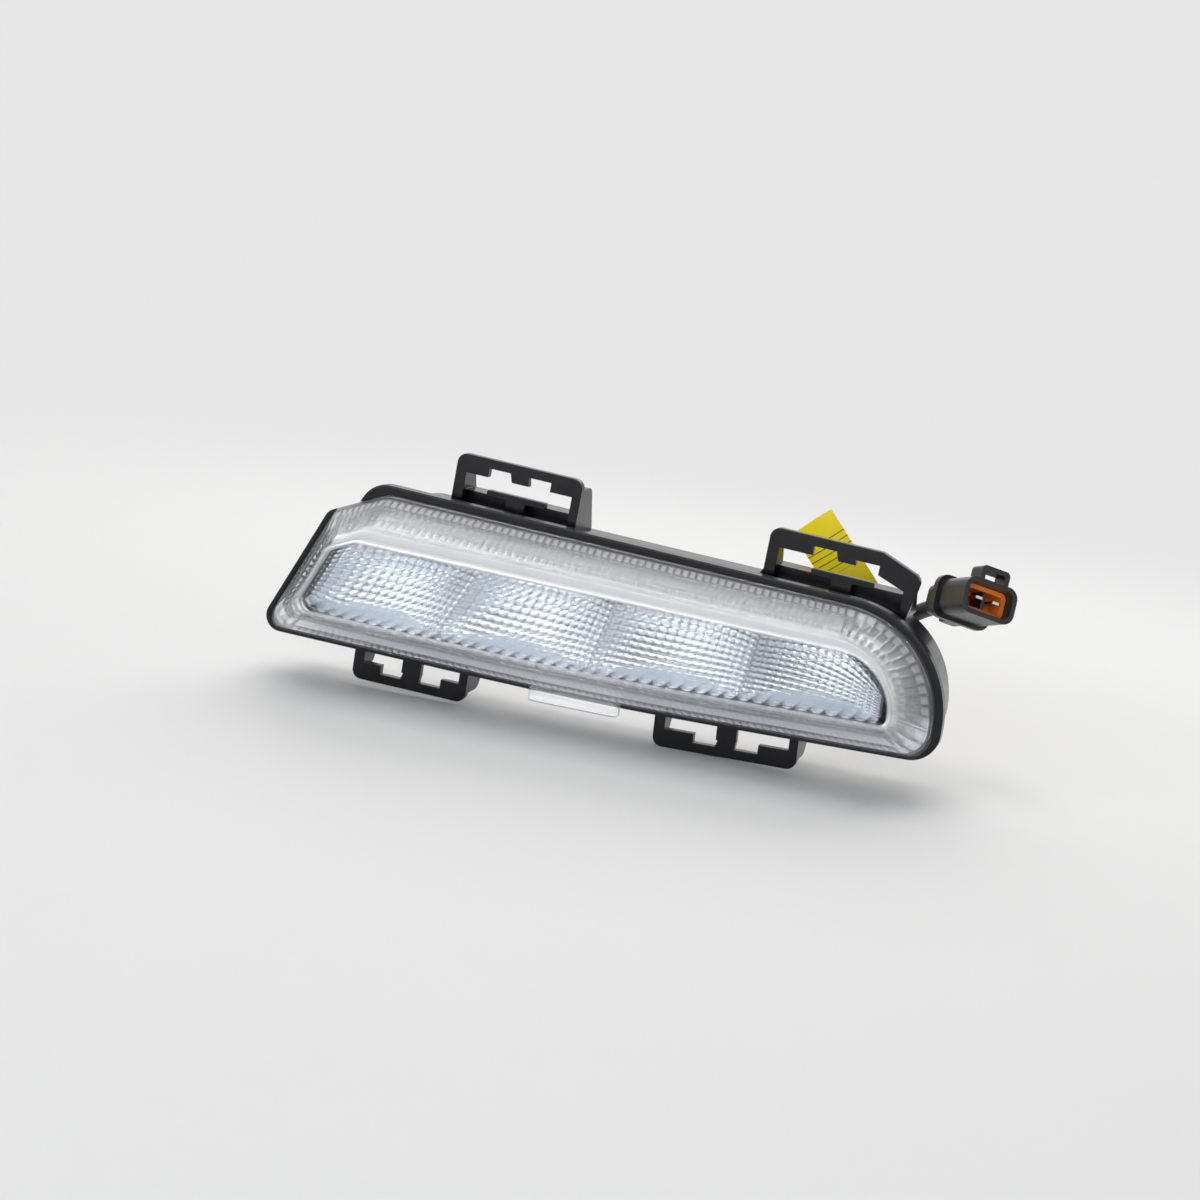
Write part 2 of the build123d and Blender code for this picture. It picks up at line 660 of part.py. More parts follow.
with BuildPart() as bezel:
    skirt_back = outline(CHANNEL_FLOOR, BEZEL_BACK_INSETS, LENS_FOOT_RADII)
    skirt_front = outline(BEZEL_FRONT, BEZEL_FRONT_INSETS, lens_radii(BEZEL_FRONT))
    loft([skirt_back, skirt_front], ruled=True)
    extrude(outline(CHANNEL_FLOOR, grown(WALL_FOOT, BEZEL_AIR), LENS_FOOT_RADII), amount=BEZEL_FLANGE)
    inside_back = outline(CHANNEL_FLOOR, grown(BEZEL_BACK_INSETS, BEZEL_WALL), LENS_FOOT_RADII)
    inside_front = outline(BEZEL_INSIDE_Y, BEZEL_INSIDE_INSETS, lens_radii(BEZEL_INSIDE_Y))
    loft([inside_back, inside_front], ruled=True, mode=Mode.SUBTRACT)
    extrude(outline(BEZEL_INSIDE_Y, WINDOW_INSETS, WINDOW_RADII), amount=BEZEL_WALL, mode=Mode.SUBTRACT)
bezel.part.label = "bezel"
export_step(bezel.part, "parts/bezel.step")


# Reflector: four faceted dishes side by side, with a smooth floor in front of them


def bottom_edge_z(x):
    """Height of the rim's bottom edge, two straight stretches that meet at the sag."""
    left = RIM_LEFT_FOOT + (RIM_SAG - RIM_LEFT_FOOT) * (x - RIM_LEFT) / (RIM_SAG_X - RIM_LEFT)
    right = RIM_SAG + (RIM_RIGHT_FOOT - RIM_SAG) * (x - RIM_SAG_X) / (RIM_RIGHT - RIM_SAG_X)
    return max(left, right)


def dish_y(share, z):
    """Depth of a cell's smooth dish at a share of its width and a height."""
    deepest = DISH_DEEPEST_Y - DISH_CURVE * (z - DISH_DEEPEST_Z) ** 2
    return RIDGE_Y + (deepest - RIDGE_Y) * (1 - (2 * share - 1) ** 2)


def reflector_section(cell, column):
    """One upright slice through the reflector: smooth floor, facets and back of the shell.  The floor
    ends where the dish comes out in front of it."""
    share = column / (2 * CELL_COLUMNS)
    x = CELL_EDGES_X[cell] + (CELL_EDGES_X[cell + 1] - CELL_EDGES_X[cell]) * share
    slant = CELL_EDGES_SLANT[cell] + (CELL_EDGES_SLANT[cell + 1] - CELL_EDGES_SLANT[cell]) * share
    raised = max(0.0, (x - CORNER_START_X) / (CELL_EDGES_X[0] - CORNER_START_X)) ** 2
    low = bottom_edge_z(x) + REFLECTOR_BOTTOM_INSET + CORNER_RISE * raised
    high = top_edge_z(x) - REFLECTOR_TOP_INSET
    for sweep_x, end_x, drop in zip(SWEEP_STARTS_X, (CELL_EDGES_X[0], CELL_EDGES_X[-1]), SWEEP_DROPS):
        high -= drop * max(0.0, (x - sweep_x) / (end_x - sweep_x)) ** 2
    front, back = [], []
    for row in range(2 * CELL_ROWS + 1):
        z = low + (high - low) * row / (2 * CELL_ROWS)
        floor_y = FLOOR_FRONT_Y + FLOOR_SLOPE * (z - low)
        front.append((z, min(floor_y, dish_y(share, z) - FACET_HEIGHT * (row % 2) * (column % 2))))
        back.append((z, min(floor_y, dish_y(share, z)) + REFLECTOR_SHELL))
    return [(x + slant * z, y, z) for z, y in front + back[::-1]]


def facets(left, right, column):
    """Triangles between two slices, each four-sided patch cut so that every bead rises to a point."""
    patches = []
    count = len(left)
    for i in range(count):
        a, b, c, d = left[i], left[(i + 1) % count], right[(i + 1) % count], right[i]
        corners = ((a, b, c), (a, c, d)) if (i + column) % 2 == 0 else ((a, b, d), (b, c, d))
        patches.extend(Face(Wire.make_polygon(corner)) for corner in corners)
    return patches


def slice_cap(points):
    """Flat end of the reflector."""
    return Face(Wire.make_polygon(points))


CELLS = len(CELL_EDGES_X) - 1
SLICES = [reflector_section(cell, column) for cell in range(CELLS) for column in range(2 * CELL_COLUMNS)]
SLICES.append(reflector_section(CELLS - 1, 2 * CELL_COLUMNS))
SKIN = [slice_cap(SLICES[0]), slice_cap(SLICES[-1])]
for column, (left, right) in enumerate(zip(SLICES, SLICES[1:])):
    SKIN.extend(facets(left, right, column))

with BuildPart() as reflector:
    add(Solid(Shell(SKIN)))
reflector.part.label = "reflector"
export_step(reflector.part, "parts/reflector.step")


# Light strip: heat sink, pad, board and one light source over each cell

STRIP_MIDDLE_X = (STRIP_LEFT_X + STRIP_RIGHT_X) / 2
STRIP_LENGTH = STRIP_RIGHT_X - STRIP_LEFT_X
SINK_BACK_Y = BACK - SINK_BOSS
PAD_DROP = SINK_DROP + SINK_PLATE
BOARD_DROP = PAD_DROP + PAD_THICKNESS
LED_DROP = BOARD_DROP + LED_BOARD


def below_top(drop, x=STRIP_MIDDLE_X):
    """Plane facing down, parallel to the rim's top edge and a drop below it."""
    edge = Plane((x, 0, top_edge_z(x)), x_dir=(1, 0, -RIM_TOP_SLOPE), z_dir=(-RIM_TOP_SLOPE, 0, -1))
    return edge.offset(drop)


def strip_block(drop, thickness, front, back):
    """Flat block under the top edge, between two places along Y."""
    with BuildSketch(below_top(drop)) as face:
        with Locations((0, -(front + back) / 2)):
            Rectangle(STRIP_LENGTH, back - front)
    extrude(face.sketch, amount=thickness)


with BuildPart() as heat_sink:
    strip_block(SINK_DROP, SINK_PLATE, STRIP_FRONT_Y, SINK_BACK_Y)
    strip_block(SINK_DROP, SINK_FLANGE_DROP, SINK_BACK_Y - SINK_FLANGE, SINK_BACK_Y)
    with BuildSketch(at(SINK_BACK_Y)):
        with Locations(*SINK_HOLES):
            Circle(HOLE_RADIUS)
    extrude(amount=SINK_FLANGE, mode=Mode.SUBTRACT)
heat_sink.part.label = "heat_sink"
export_step(heat_sink.part, "parts/heat_sink.step")

with BuildPart() as thermal_pad:
    strip_block(PAD_DROP, PAD_THICKNESS, STRIP_FRONT_Y, STRIP_BACK_Y)
thermal_pad.part.label = "thermal_pad"
export_step(thermal_pad.part, "parts/thermal_pad.step")

with BuildPart() as led_board:
    strip_block(BOARD_DROP, LED_BOARD, STRIP_FRONT_Y, STRIP_BACK_Y)
led_board.part.label = "led_board"
export_step(led_board.part, "parts/led_board.step")

CELL_MIDDLES = [(a + b) / 2 for a, b in zip(CELL_EDGES_X, CELL_EDGES_X[1:])]
LED_SHIFT = LED_LEAN * (top_edge_z(0) - LED_DROP)

with BuildPart() as leds:
    for middle, slant in zip(CELL_MIDDLES, CELL_EDGES_SLANT):
        with BuildSketch(below_top(LED_DROP, middle + LED_SHIFT * slant)):
            with Locations((0, -LED_Y)):
                Rectangle(LED_SIZE, LED_SIZE)
        extrude(amount=LED_HEIGHT)
leds.part.label = "leds"
export_step(leds.part, "parts/leds.step")


# Driver electronics on standoffs at the back wall

DRIVER_BACK_Y = BACK - DRIVER_STANDOFF
DRIVER_FACE_Y = DRIVER_BACK_Y - DRIVER_BOARD

with BuildPart() as driver_board:
    with BuildSketch(at(DRIVER_BACK_Y)):
        with Locations((DRIVER_X, DRIVER_Z)):
            RectangleRounded(DRIVER_LENGTH, DRIVER_HEIGHT, DRIVER_CORNER)
        with Locations(*DRIVER_HOLES):
            Circle(HOLE_RADIUS, mode=Mode.SUBTRACT)
    extrude(amount=DRIVER_BOARD)
driver_board.part.label = "driver_board"
export_step(driver_board.part, "parts/driver_board.step")

with BuildPart() as driver_coil:
    with BuildSketch(at(DRIVER_FACE_Y)):
        with Locations((DRIVER_X + COIL_X, DRIVER_Z)):
            RectangleRounded(2 * COIL_RADIUS, 2 * COIL_RADIUS, COIL_CORNER)
    extrude(amount=COIL_HEIGHT)
    chamfer(faces().sort_by(Axis.Y)[0].edges(), COIL_CHAMFER)
driver_coil.part.label = "driver_coil"
export_step(driver_coil.part, "parts/driver_coil.step")

with BuildPart() as driver_capacitors:
    with BuildSketch(at(DRIVER_FACE_Y)):
        with Locations((DRIVER_X, DRIVER_Z)):
            with GridLocations(CAPACITOR_SPACING, 0, 2, 1):
                Circle(CAPACITOR_RADIUS)
    extrude(amount=CAPACITOR_HEIGHT)
    fillet(edges().filter_by(GeomType.CIRCLE).group_by(Axis.Y)[0], CAPACITOR_EDGE)
driver_capacitors.part.label = "driver_capacitors"
export_step(driver_capacitors.part, "parts/driver_capacitors.step")

with BuildPart() as driver_chips:
    with BuildSketch(at(DRIVER_FACE_Y)):
        with Locations((DRIVER_X + CHIP_X, DRIVER_Z), (DRIVER_X + CHIP_X + CHIP_SPACING, DRIVER_Z)):
            Rectangle(CHIP_LENGTH, CHIP_WIDTH)
    extrude(amount=CHIP_HEIGHT)
driver_chips.part.label = "driver_chips"
export_step(driver_chips.part, "parts/driver_chips.step")


def screws(places, face_y, through):
    """Round-headed screws with a cross recess, heads on the face at face_y."""
    with BuildSketch(at(face_y)) as shanks:
        with Locations(*places):
            Circle(SCREW_RADIUS)
    extrude(shanks.sketch, amount=-(through + SCREW_GRIP - SCREW_CLEARANCE))
    with BuildSketch(at(face_y)) as heads:
        with Locations(*places):
            Circle(SCREW_HEAD_RADIUS)
    extrude(heads.sketch, amount=SCREW_HEAD)
    with BuildSketch(at(face_y - SCREW_HEAD)) as crosses:
        with Locations(*places):
            Rectangle(SCREW_HEAD_RADIUS, SCREW_DRIVE_WIDTH)
            Rectangle(SCREW_DRIVE_WIDTH, SCREW_HEAD_RADIUS)
    extrude(crosses.sketch, amount=-SCREW_DRIVE, mode=Mode.SUBTRACT)


with BuildPart() as heat_sink_screws:
    screws(SINK_HOLES, SINK_BACK_Y - SINK_FLANGE, SINK_FLANGE)
heat_sink_screws.part.label = "heat_sink_screws"
export_step(heat_sink_screws.part, "parts/heat_sink_screws.step")

with BuildPart() as driver_screws:
    screws(DRIVER_HOLES, DRIVER_FACE_Y, DRIVER_BOARD)
driver_screws.part.label = "driver_screws"
export_step(driver_screws.part, "parts/driver_screws.step")

LINK_X = DRIVER_HOLES[0][0] + SCREW_HEAD_RADIUS + LINK_GAP + LINK_WIDTH / 2
LINK_TOP_Z = top_edge_z(LINK_X) - LED_DROP - LINK_THICKNESS
DRIVER_TOP_Z = DRIVER_Z + DRIVER_HEIGHT / 2

with BuildPart() as board_link:
    with BuildSketch(Plane.YZ.offset(LINK_X - LINK_WIDTH / 2)):
        with BuildLine():
            FilletPolyline(
                (DRIVER_FACE_Y - LINK_THICKNESS / 2, DRIVER_TOP_Z - LINK_LAND),
                (DRIVER_FACE_Y - LINK_THICKNESS / 2, DRIVER_TOP_Z + LINK_RISE),
                (STRIP_BACK_Y + LINK_LEAD, LINK_TOP_Z),
                (STRIP_BACK_Y - LINK_LEAD, LINK_TOP_Z),
                radius=LINK_BEND,
            )
        trace(line_width=LINK_THICKNESS)
    extrude(amount=LINK_WIDTH)
board_link.part.label = "board_link"
export_step(board_link.part, "parts/board_link.step")


# Breather on the back

BREATHER_END = BODY_DEPTH + BREATHER_BOSS_HEIGHT

with BuildPart() as breather_membrane:
    with BuildSketch(at(BREATHER_END)):
        with Locations((BREATHER_X, BREATHER_Z)):
            Circle(BREATHER_BOSS - BORE_GAP)
    extrude(amount=-MEMBRANE)
breather_membrane.part.label = "breather_membrane"
export_step(breather_membrane.part, "parts/breather_membrane.step")

with BuildPart() as breather_cap:
    with BuildSketch(at(BREATHER_END + MEMBRANE + CAP_WALL)):
        with Locations((BREATHER_X, BREATHER_Z)):
            Circle(CAP_RADIUS)
    extrude(amount=CAP_HEIGHT)
    fillet(faces().sort_by(Axis.Y)[-1].edges(), CAP_EDGE)
    with BuildSketch(at(BREATHER_END + MEMBRANE)):
        with Locations((BREATHER_X, BREATHER_Z)):
            Circle(BREATHER_BOSS + BORE_GAP)
    extrude(amount=CAP_HEIGHT, mode=Mode.SUBTRACT)
    with BuildSketch(at(BREATHER_END + MEMBRANE + CAP_WALL - CAP_HEIGHT)):
        with Locations((BREATHER_X, BREATHER_Z)):
            Rectangle(2 * CAP_RADIUS, CAP_SLOT)
            Rectangle(CAP_SLOT, 2 * CAP_RADIUS)
    extrude(amount=-CAP_SLOT_DEPTH, mode=Mode.SUBTRACT)
breather_cap.part.label = "breather_cap"
export_step(breather_cap.part, "parts/breather_cap.step")


# Lead: route, grommet, inner wires, label and connector

BACKWARDS = Vector(0, 1, 0)
CABLE_HEADINGS = [
    Vector(lean[0], 0, lean[1]).normalized() * sin(radians(turn)) + BACKWARDS * cos(radians(turn))
    for lean, turn in zip(CABLE_LEANS, CABLE_TURNS)
]
CABLE_BENDS = [into.get_angle(out) for into, out in zip(CABLE_HEADINGS, CABLE_HEADINGS[1:])]
CABLE_POINTS = [Vector(GROMMET_X, BODY_DEPTH + CABLE_START, GROMMET_Z)]
for heading, run in zip(CABLE_HEADINGS, CABLE_RUNS):
    CABLE_POINTS.append(CABLE_POINTS[-1] + heading * run)
BEND_REACHES = [CORNER_SHARE * min(runs) for runs in zip(CABLE_RUNS, CABLE_RUNS[1:])]
CABLE_RADII = [reach / tan(radians(bend) / 2) for reach, bend in zip(BEND_REACHES, CABLE_BENDS)]

with BuildLine() as cable_route:
    FilletPolyline(*CABLE_POINTS, radius=CABLE_RADII)

with BuildPart() as cable:
    with BuildSketch(Plane(CABLE_POINTS[0], x_dir=(1, 0, 0), z_dir=CABLE_HEADINGS[0])):
        Circle(CABLE_RADIUS)
    sweep(path=cable_route.wire())
cable.part.label = "cable"
export_step(cable.part, "parts/cable.step")

WIRE_PLACES = [(GROMMET_X, GROMMET_Z + side * WIRE_SPREAD) for side in (-1, 1)]

with BuildPart() as cable_grommet:
    with BuildSketch(at(BACK - GROMMET_INNER)):
        with Locations((GROMMET_X, GROMMET_Z)):
            Circle(GROMMET_NECK_RADIUS + GROMMET_INNER / 2)
    extrude(amount=-GROMMET_INNER)
    with BuildSketch(at(BACK)):
        with Locations((GROMMET_X, GROMMET_Z)):
            Circle(GROMMET_NECK_RADIUS)
    extrude(amount=-WALL)
    with BuildSketch(at(BODY_DEPTH)):
        with Locations((GROMMET_X, GROMMET_Z)):
            Circle(GROMMET_COLLAR_RADIUS)
    extrude(amount=-GROMMET_COLLAR)
    with BuildSketch(at(BODY_DEPTH + GROMMET_COLLAR)) as tail_root:
        with Locations((GROMMET_X, GROMMET_Z)):
            Circle((GROMMET_COLLAR_RADIUS + GROMMET_TIP_RADIUS) / 2)
    with BuildSketch(at(BODY_DEPTH + GROMMET_COLLAR + GROMMET_TAIL)) as tail_tip:
        with Locations((GROMMET_X, GROMMET_Z)):
            Circle(GROMMET_TIP_RADIUS)
    loft()
    with BuildSketch(at(BODY_DEPTH + CABLE_START)):
        with Locations((GROMMET_X, GROMMET_Z)):
            Circle(CABLE_RADIUS + BORE_GAP)
    extrude(amount=-(GROMMET_COLLAR + GROMMET_TAIL), mode=Mode.SUBTRACT)
    with BuildSketch(at(BACK - GROMMET_INNER)):
        with Locations(*WIRE_PLACES):
            Circle(WIRE_RADIUS + BORE_GAP)
    extrude(amount=-(GROMMET_INNER + WALL + CABLE_START), mode=Mode.SUBTRACT)
cable_grommet.part.label = "cable_grommet"
export_step(cable_grommet.part, "parts/cable_grommet.step")

WIRE_START_Y = BODY_DEPTH + CABLE_START
WIRE_BEND_Y = DRIVER_FACE_Y - WIRE_RADIUS
WIRE_END_X = DRIVER_X + DRIVER_LENGTH / 2 - WIRE_LAND


def inner_wire(z):
    """One wire from the lead's end to the driver board, lying on the board."""
    bend = CORNER_SHARE * (WIRE_START_Y - WIRE_BEND_Y)
    with BuildLine() as route:
        FilletPolyline(
            (GROMMET_X, WIRE_START_Y, z),
            (GROMMET_X, WIRE_BEND_Y, z),
            (WIRE_END_X, WIRE_BEND_Y, z),
            radius=bend,
        )
    with BuildSketch(Plane((GROMMET_X, WIRE_START_Y, z), x_dir=(1, 0, 0), z_dir=(0, -1, 0))) as end:
        Circle(WIRE_RADIUS)
    sweep(end.sketch, path=route.wire())


with BuildPart() as inner_leads:
    for place in WIRE_PLACES:
        inner_wire(place[1])
inner_leads.part.label = "inner_leads"
export_step(inner_leads.part, "parts/inner_leads.step")

LABEL_BEND = CABLE_RADII[LABEL_CORNER]
LABEL_ARC = CABLE_BENDS[LABEL_CORNER]
LABEL_HEADING = CABLE_HEADINGS[LABEL_CORNER]
NEXT_HEADING = CABLE_HEADINGS[LABEL_CORNER + 1]
BEND_IN = CABLE_POINTS[LABEL_CORNER + 1] - LABEL_HEADING * BEND_REACHES[LABEL_CORNER]
BEND_SIDE = (NEXT_HEADING - LABEL_HEADING * LABEL_HEADING.dot(NEXT_HEADING)).normalized()
BEND_AXIS = LABEL_HEADING.cross(BEND_SIDE)
BEND_MIDDLE = BEND_IN + BEND_SIDE * LABEL_BEND
COLLAR_RADIUS = CABLE_RADIUS + LABEL_GAP + LABEL_COLLAR

with BuildPart() as cable_label:
    with BuildSketch(Plane(BEND_IN, x_dir=BEND_SIDE, z_dir=LABEL_HEADING)):
        Circle(COLLAR_RADIUS)
        Circle(CABLE_RADIUS + LABEL_GAP, mode=Mode.SUBTRACT)
    revolve(axis=Axis(BEND_MIDDLE, BEND_AXIS), revolution_arc=LABEL_ARC)
    flag_start = Plane(
        BEND_MIDDLE - BEND_AXIS * (COLLAR_RADIUS - LABEL_COLLAR / 2), x_dir=-BEND_SIDE, z_dir=BEND_AXIS
    )
    with BuildSketch(flag_start):
        with BuildLine():
            inside = CenterArc((0, 0), LABEL_BEND - LABEL_THICKNESS / 2, 0, LABEL_ARC)
            outside = CenterArc((0, 0), LABEL_BEND + LABEL_THICKNESS / 2, 0, LABEL_ARC)
            Line(inside @ 0, outside @ 0)
            Line(inside @ 1, outside @ 1)
        make_face()
    extrude(amount=LABEL_LENGTH, dir=LABEL_REACH)
cable_label.part.label = "cable_label"
export_step(cable_label.part, "parts/cable_label.step")

CONNECTOR_HEADING = CABLE_HEADINGS[-1]
CONNECTOR_REAR = CABLE_POINTS[-1] - CONNECTOR_HEADING * CONNECTOR_SEAL_INNER
MOUTH = NECK_LENGTH + SHROUD_LENGTH
POCKET_FLOOR = MOUTH - SHROUD_POCKET
PIN_PLACES = [(-PIN_SPACING / 2, 0), (PIN_SPACING / 2, 0)]
POCKET_WIDTH = SHROUD_WIDTH - 2 * SHROUD_WALL
POCKET_HEIGHT = SHROUD_HEIGHT - 2 * SHROUD_WALL
POCKET_RADIUS = SHROUD_RADIUS - SHROUD_WALL
RIB_HEIGHT = POCKET_HEIGHT - 2 * RETAINER_WALL - 2 * RETAINER_FIT


def along_connector(distance):
    """Plane square to the connector's axis, at a distance from its rear."""
    return Plane(
        CONNECTOR_REAR + CONNECTOR_HEADING * distance, x_dir=CONNECTOR_ACROSS, z_dir=CONNECTOR_HEADING
    )


with BuildPart() as connector_body:
    with BuildSketch(along_connector(0)):
        RectangleRounded(NECK_WIDTH, NECK_HEIGHT, NECK_RADIUS)
    extrude(amount=NECK_LENGTH)
    with BuildSketch(along_connector(NECK_LENGTH)):
        RectangleRounded(SHROUD_WIDTH, SHROUD_HEIGHT, SHROUD_RADIUS)
    extrude(amount=SHROUD_LENGTH)
    with BuildSketch(along_connector(NECK_LENGTH)):
        RectangleRounded(SHROUD_WIDTH + 2 * COLLAR_GROWTH, SHROUD_HEIGHT + 2 * COLLAR_GROWTH, SHROUD_RADIUS)
    extrude(amount=COLLAR_LENGTH)
    with BuildSketch(along_connector(MOUTH - BRIDGE_LENGTH)):
        with Locations((0, SHROUD_HEIGHT / 2)):
            RectangleRounded(BRIDGE_WIDTH, 2 * BRIDGE_HEIGHT, BRIDGE_WALL)
    extrude(amount=BRIDGE_LENGTH)
    with BuildSketch(along_connector(MOUTH - BRIDGE_LENGTH)):
        with Locations((0, SHROUD_HEIGHT / 2 + (BRIDGE_HEIGHT - BRIDGE_WALL) / 2)):
            Rectangle(BRIDGE_WIDTH - 2 * BRIDGE_WALL, BRIDGE_HEIGHT - BRIDGE_WALL)
    extrude(amount=BRIDGE_LENGTH, mode=Mode.SUBTRACT)
    with BuildSketch(along_connector(NECK_LENGTH - LUG_LENGTH)):
        with Locations((0, -NECK_HEIGHT / 2)):
            RectangleRounded(LUG_WIDTH, 2 * LUG_HEIGHT, LUG_CORNER)
    extrude(amount=LUG_LENGTH)
    with BuildSketch(along_connector(POCKET_FLOOR)):
        RectangleRounded(POCKET_WIDTH, POCKET_HEIGHT, POCKET_RADIUS)
        Rectangle(RIB_WALL, RIB_HEIGHT, mode=Mode.SUBTRACT)
    extrude(amount=SHROUD_POCKET, mode=Mode.SUBTRACT)
    with BuildSketch(along_connector(POCKET_FLOOR + RETAINER_HEIGHT)):
        Rectangle(RIB_WALL, RIB_HEIGHT)
    extrude(amount=SHROUD_POCKET - RETAINER_HEIGHT, mode=Mode.SUBTRACT)
    with BuildSketch(along_connector(POCKET_FLOOR - PIN_ROOT)):
        with Locations(*PIN_PLACES):
            Rectangle(PIN_WIDTH + 2 * BORE_GAP, PIN_THICKNESS + 2 * BORE_GAP)
    extrude(amount=PIN_ROOT, mode=Mode.SUBTRACT)
    with BuildSketch(along_connector(0)):
        Circle(CONNECTOR_SEAL_RADIUS + BORE_GAP)
    extrude(amount=CONNECTOR_SEAL_INNER, mode=Mode.SUBTRACT)
connector_body.part.label = "connector_body"
export_step(connector_body.part, "parts/connector_body.step")

with BuildPart() as connector_seal:
    with BuildSketch(along_connector(-CONNECTOR_SEAL_PROUD)):
        Circle(CONNECTOR_SEAL_RADIUS)
        Circle(CABLE_RADIUS + BORE_GAP, mode=Mode.SUBTRACT)
    extrude(amount=CONNECTOR_SEAL + CONNECTOR_SEAL_PROUD)
connector_seal.part.label = "connector_seal"
export_step(connector_seal.part, "parts/connector_seal.step")

with BuildPart() as connector_retainer:
    with BuildSketch(along_connector(POCKET_FLOOR)):
        RectangleRounded(
            POCKET_WIDTH - 2 * RETAINER_FIT, POCKET_HEIGHT - 2 * RETAINER_FIT, POCKET_RADIUS - RETAINER_FIT
        )
        Rectangle(RIB_WALL + 2 * RETAINER_FIT, POCKET_HEIGHT - 2 * RETAINER_WALL, mode=Mode.SUBTRACT)
        with Locations(*PIN_PLACES):
            Rectangle(PIN_WIDTH + 2 * BORE_GAP, PIN_THICKNESS + 2 * BORE_GAP, mode=Mode.SUBTRACT)
    extrude(amount=RETAINER_BASE)
    with BuildSketch(along_connector(POCKET_FLOOR + RETAINER_BASE)):
        RectangleRounded(
            POCKET_WIDTH - 2 * RETAINER_FIT, POCKET_HEIGHT - 2 * RETAINER_FIT, POCKET_RADIUS - RETAINER_FIT
        )
        Rectangle(
            POCKET_WIDTH - 2 * RETAINER_WALL, POCKET_HEIGHT - 2 * RETAINER_WALL, mode=Mode.SUBTRACT
        )
    extrude(amount=RETAINER_HEIGHT - RETAINER_BASE)
connector_retainer.part.label = "connector_retainer"
export_step(connector_retainer.part, "parts/connector_retainer.step")

with BuildPart() as connector_pins:
    with BuildSketch(along_connector(POCKET_FLOOR - PIN_ROOT)):
        with Locations(*PIN_PLACES):
            Rectangle(PIN_WIDTH, PIN_THICKNESS)
    extrude(amount=PIN_ROOT + PIN_LENGTH)
connector_pins.part.label = "connector_pins"
export_step(connector_pins.part, "parts/connector_pins.step")
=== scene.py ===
from math import radians

import bpy
import numpy as np
from bpy.props import FloatProperty, FloatVectorProperty, IntProperty, PointerProperty
from mathutils import Matrix, Vector


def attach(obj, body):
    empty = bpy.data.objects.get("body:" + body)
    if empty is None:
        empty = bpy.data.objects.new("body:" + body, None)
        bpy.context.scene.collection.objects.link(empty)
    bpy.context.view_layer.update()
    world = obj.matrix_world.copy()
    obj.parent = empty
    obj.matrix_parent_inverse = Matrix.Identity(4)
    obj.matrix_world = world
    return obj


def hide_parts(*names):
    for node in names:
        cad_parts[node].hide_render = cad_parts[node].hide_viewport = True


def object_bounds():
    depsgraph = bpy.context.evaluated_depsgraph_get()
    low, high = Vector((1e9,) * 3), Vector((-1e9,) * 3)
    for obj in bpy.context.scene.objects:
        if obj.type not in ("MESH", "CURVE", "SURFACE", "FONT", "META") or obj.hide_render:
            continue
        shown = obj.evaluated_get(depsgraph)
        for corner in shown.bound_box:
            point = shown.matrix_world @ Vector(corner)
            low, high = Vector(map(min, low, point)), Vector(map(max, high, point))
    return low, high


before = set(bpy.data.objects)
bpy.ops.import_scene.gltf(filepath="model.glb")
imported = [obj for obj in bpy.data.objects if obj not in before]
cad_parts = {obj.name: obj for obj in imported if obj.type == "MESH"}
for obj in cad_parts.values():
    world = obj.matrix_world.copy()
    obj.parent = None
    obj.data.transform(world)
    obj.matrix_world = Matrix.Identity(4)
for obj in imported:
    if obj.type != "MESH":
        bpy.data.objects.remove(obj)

bl_info = {
    "name": "Daytime running light",
    "version": (1, 0, 0),
    "blender": (4, 5, 0),
    "location": "View3D > Sidebar > Running light",
    "description": "Lens, bezel, reflector and finishes for a clip-in running light",
    "category": "Object",
}

CAD_LOW, CAD_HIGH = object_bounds()
MM = 0.001
BODY = "root"

# Outline of the rim, in millimetres as the solids have it, seen from the front
RIM_LEFT = -110.0
RIM_RIGHT = 108.6
RIM_LEFT_FOOT = -24.3
RIM_SAG = -27.7
RIM_SAG_X = 5.0
RIM_RIGHT_FOOT = -25.2
RIM_TOP_RIGHT = 17.2
RIM_TOP_SLOPE = 0.0578
LEFT_SLANT = 0.488
CORNER_FOOT = 16.3
CORNER_SLOPE = 0.434
RIM_DEPTH = 4.0
SAG_RADIUS = 1500.0
SIDE_SHARE = 0.97
SIDE_TILTS = np.array([0.0, 0.0, 0.0, 0.14, 0.0, 0.0])

# Lens: outer wall from its foot to its front, with an inset and a radius for each side of the rim; flutes
# begin behind the front's inside and end as studs in front of the rim
LENS_FRONT = -20.5
LENS_FOOT_Y = -2.1
LENS_WALL = 2.2
LENS_FOOT_INSETS = np.array([1.0, 1.0, 2.6, 2.4, 0.0, 1.8])
LENS_FRONT_INSETS = np.array([10.7, 10.7, 12.0, 9.8, 7.5, 8.5])
LENS_FOOT_RADII = np.array([4.0, SAG_RADIUS, 6.5, 30.5, 9.0, 4.0])
LENS_FRONT_RADII = np.array([4.0, SAG_RADIUS, 4.0, 24.0, 6.0, 4.0])
LENS_INSIDE_Y = LENS_FRONT + LENS_WALL
LENS_ROWS = 8
LENS_STEPS = 8
FLUTES_BEHIND = 0.6
STUDS_FROM = 2.6
STUDS_TO = 0.3
STUDS_FADE = 0.6
TOP_FLUTE_SHARE = 0.15
# Strength of the painted shade between the flutes on the wall, against its full strength between the studs
WALL_GAP_SHADE = 0.5
TONGUE_MIDDLE = (-2.7, -5.2, -27.55)
TONGUE_SIZE = (29.0, 2.4, 4.7)
TONGUE_POWER = 0.22
TONGUE_POINTS = 96
# Rows across the tongue's thickness, as shares of it from its middle, and how far each row draws in
TONGUE_ROWS = np.array([-0.5, -0.42, -0.36, 0.36, 0.42, 0.5])
TONGUE_INSETS = np.array([0.45, 0.12, 0.0, 0.0, 0.12, 0.45])

